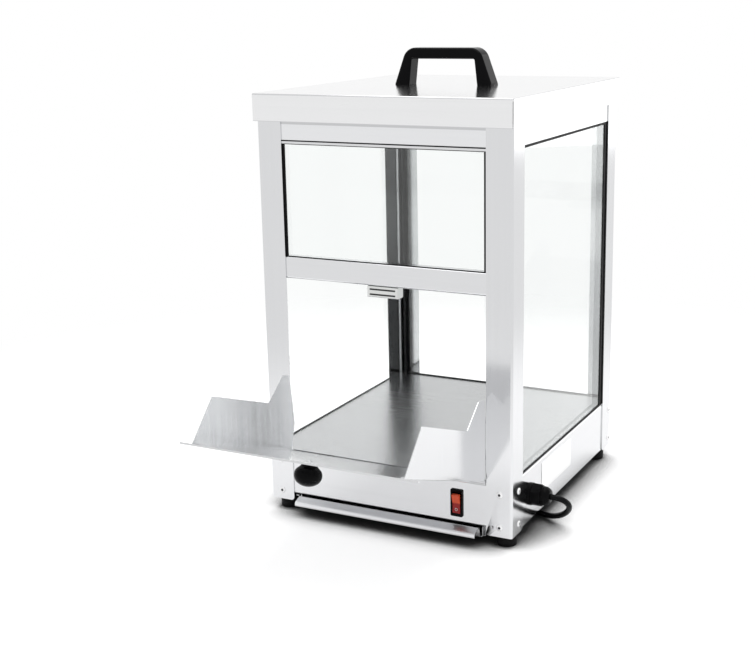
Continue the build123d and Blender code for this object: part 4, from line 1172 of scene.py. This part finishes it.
    def build(self) -> None:
        """Sets the whole studio up."""
        self.camera()
        self.world()
        self.floor()
        self.lamp("top_lamp", (0.0, 0.0, 1.9), (0.0, 0.0, 0.0), (1.7, 1.7), 15.0)
        self.lamp("rear_box", (1.9, 2.6, 0.95), (0.0, 0.0, 0.4), (2.4, 1.8), 14.0)
        bpy.context.scene.view_settings.view_transform = "Standard"


# ------------------------------------------------------------------ mains cord
@dataclass
class MainsCord:
    """The mains lead: down from its gland, under the cabinet, and coiled behind it, with its plug."""

    radius: float = 3.5
    length: float = 1.49
    coil_centre: tuple = (20.0, 235.0)
    outer_turn: float = 38.5
    inner_turn: float = 31.5
    upper_layer: float = 10.5
    turn_count: float = 4.25
    steps: int = 20
    crossings: tuple = (0.90, 1.78, 2.66)
    crossing: float = 0.10
    lead: Sequence[tuple] = field(
        default_factory=lambda: [
            (184.8, -118.0, 48.5),
            (196.0, -118.0, 48.5),
            (204.5, -111.5, 41.0),
            (203.0, -103.0, 30.5),
            (193.0, -93.5, 19.0),
            (179.0, -83.0, 10.0),
            (163.0, -73.5, 5.0),
            (146.0, -63.0, 3.5),
            (128.0, -50.0, 3.5),
            (106.0, -29.0, 3.5),
            (88.0, 4.0, 3.5),
            (77.0, 46.0, 3.5),
            (72.0, 92.0, 3.5),
            (63.0, 138.0, 3.5),
            (60.5, 184.0, 3.5),
            (62.0, 226.0, 3.5),
        ]
    )
    tail: Sequence[tuple] = field(
        default_factory=lambda: [
            (12.0, 277.0, 10.5),
            (-10.0, 276.5, 9.0),
            (-32.0, 272.0, 4.0),
            (-54.0, 263.0, 3.8),
            (-74.0, 251.0, 10.0),
            (-90.0, 240.0, 10.0),
        ]
    )

    def lane(self, turn: float) -> tuple:
        """Where the cord lies after a number of turns: bottom outer, bottom inner, top inner, top outer.

        Args:
            turn: turns laid so far.

        Returns:
            Radius and height in millimetres.
        """
        inward, climb, outward = (
            min(1.0, max(0.0, (turn - start) / self.crossing)) for start in self.crossings
        )
        reach = self.outer_turn + (self.inner_turn - self.outer_turn) * (inward - outward)
        return reach, self.radius + (self.upper_layer - self.radius) * climb

    def turns(self) -> list:
        """The coil's own points, two turns side by side and two on top of them.

        Returns:
            Points in millimetres.
        """
        points = []
        for step in range(1, int(self.turn_count * self.steps) - 2):
            angle = 2 * math.pi * step / self.steps
            reach, height = self.lane(step / self.steps)
            points.append(
                (
                    self.coil_centre[0] + reach * math.cos(angle),
                    self.coil_centre[1] + reach * math.sin(angle),
                    height,
                )
            )
        return points

    def build(self, finishes: Finishes) -> None:
        """Lays the cord.

        Args:
            finishes: the warmer's materials.
        """
        points = list(self.lead) + self.turns() + list(self.tail)
        curve = bpy.data.curves.new("mains_cord", "CURVE")
        curve.dimensions = "3D"
        curve.bevel_depth = self.radius * MM
        curve.bevel_resolution = 5
        curve.resolution_u = 6
        curve.use_fill_caps = True
        spline = curve.splines.new("NURBS")
        spline.points.add(len(points) - 1)
        for point, place in zip(spline.points, points):
            point.co = (*(v * MM for v in place), 1.0)
        spline.order_u = 3
        spline.use_endpoint_u = True
        cord = bpy.data.objects.new("mains_cord", curve)
        bpy.context.scene.collection.objects.link(cord)
        fit(cord, "cabinet", "cord_jacket", finishes.jacket, "cord_lead", "cord_coil", "cord_tail")


def main() -> None:
    """Builds the warmer's looks around its frame."""
    logging.basicConfig(level=logging.INFO, format="%(name)s: %(message)s")
    Studio().build()
    finishes = Finishes()
    for node, material in finishes.of_nodes().items():
        dress(frame["nodes"][node], material)
        log.info("%s takes %s", node, material.name)
    SheetMetal(finishes).build()
    fittings = Fittings(finishes, Layout())
    fittings.build()
    MainsCord().build(finishes)


if __name__ == "__main__":
    main()
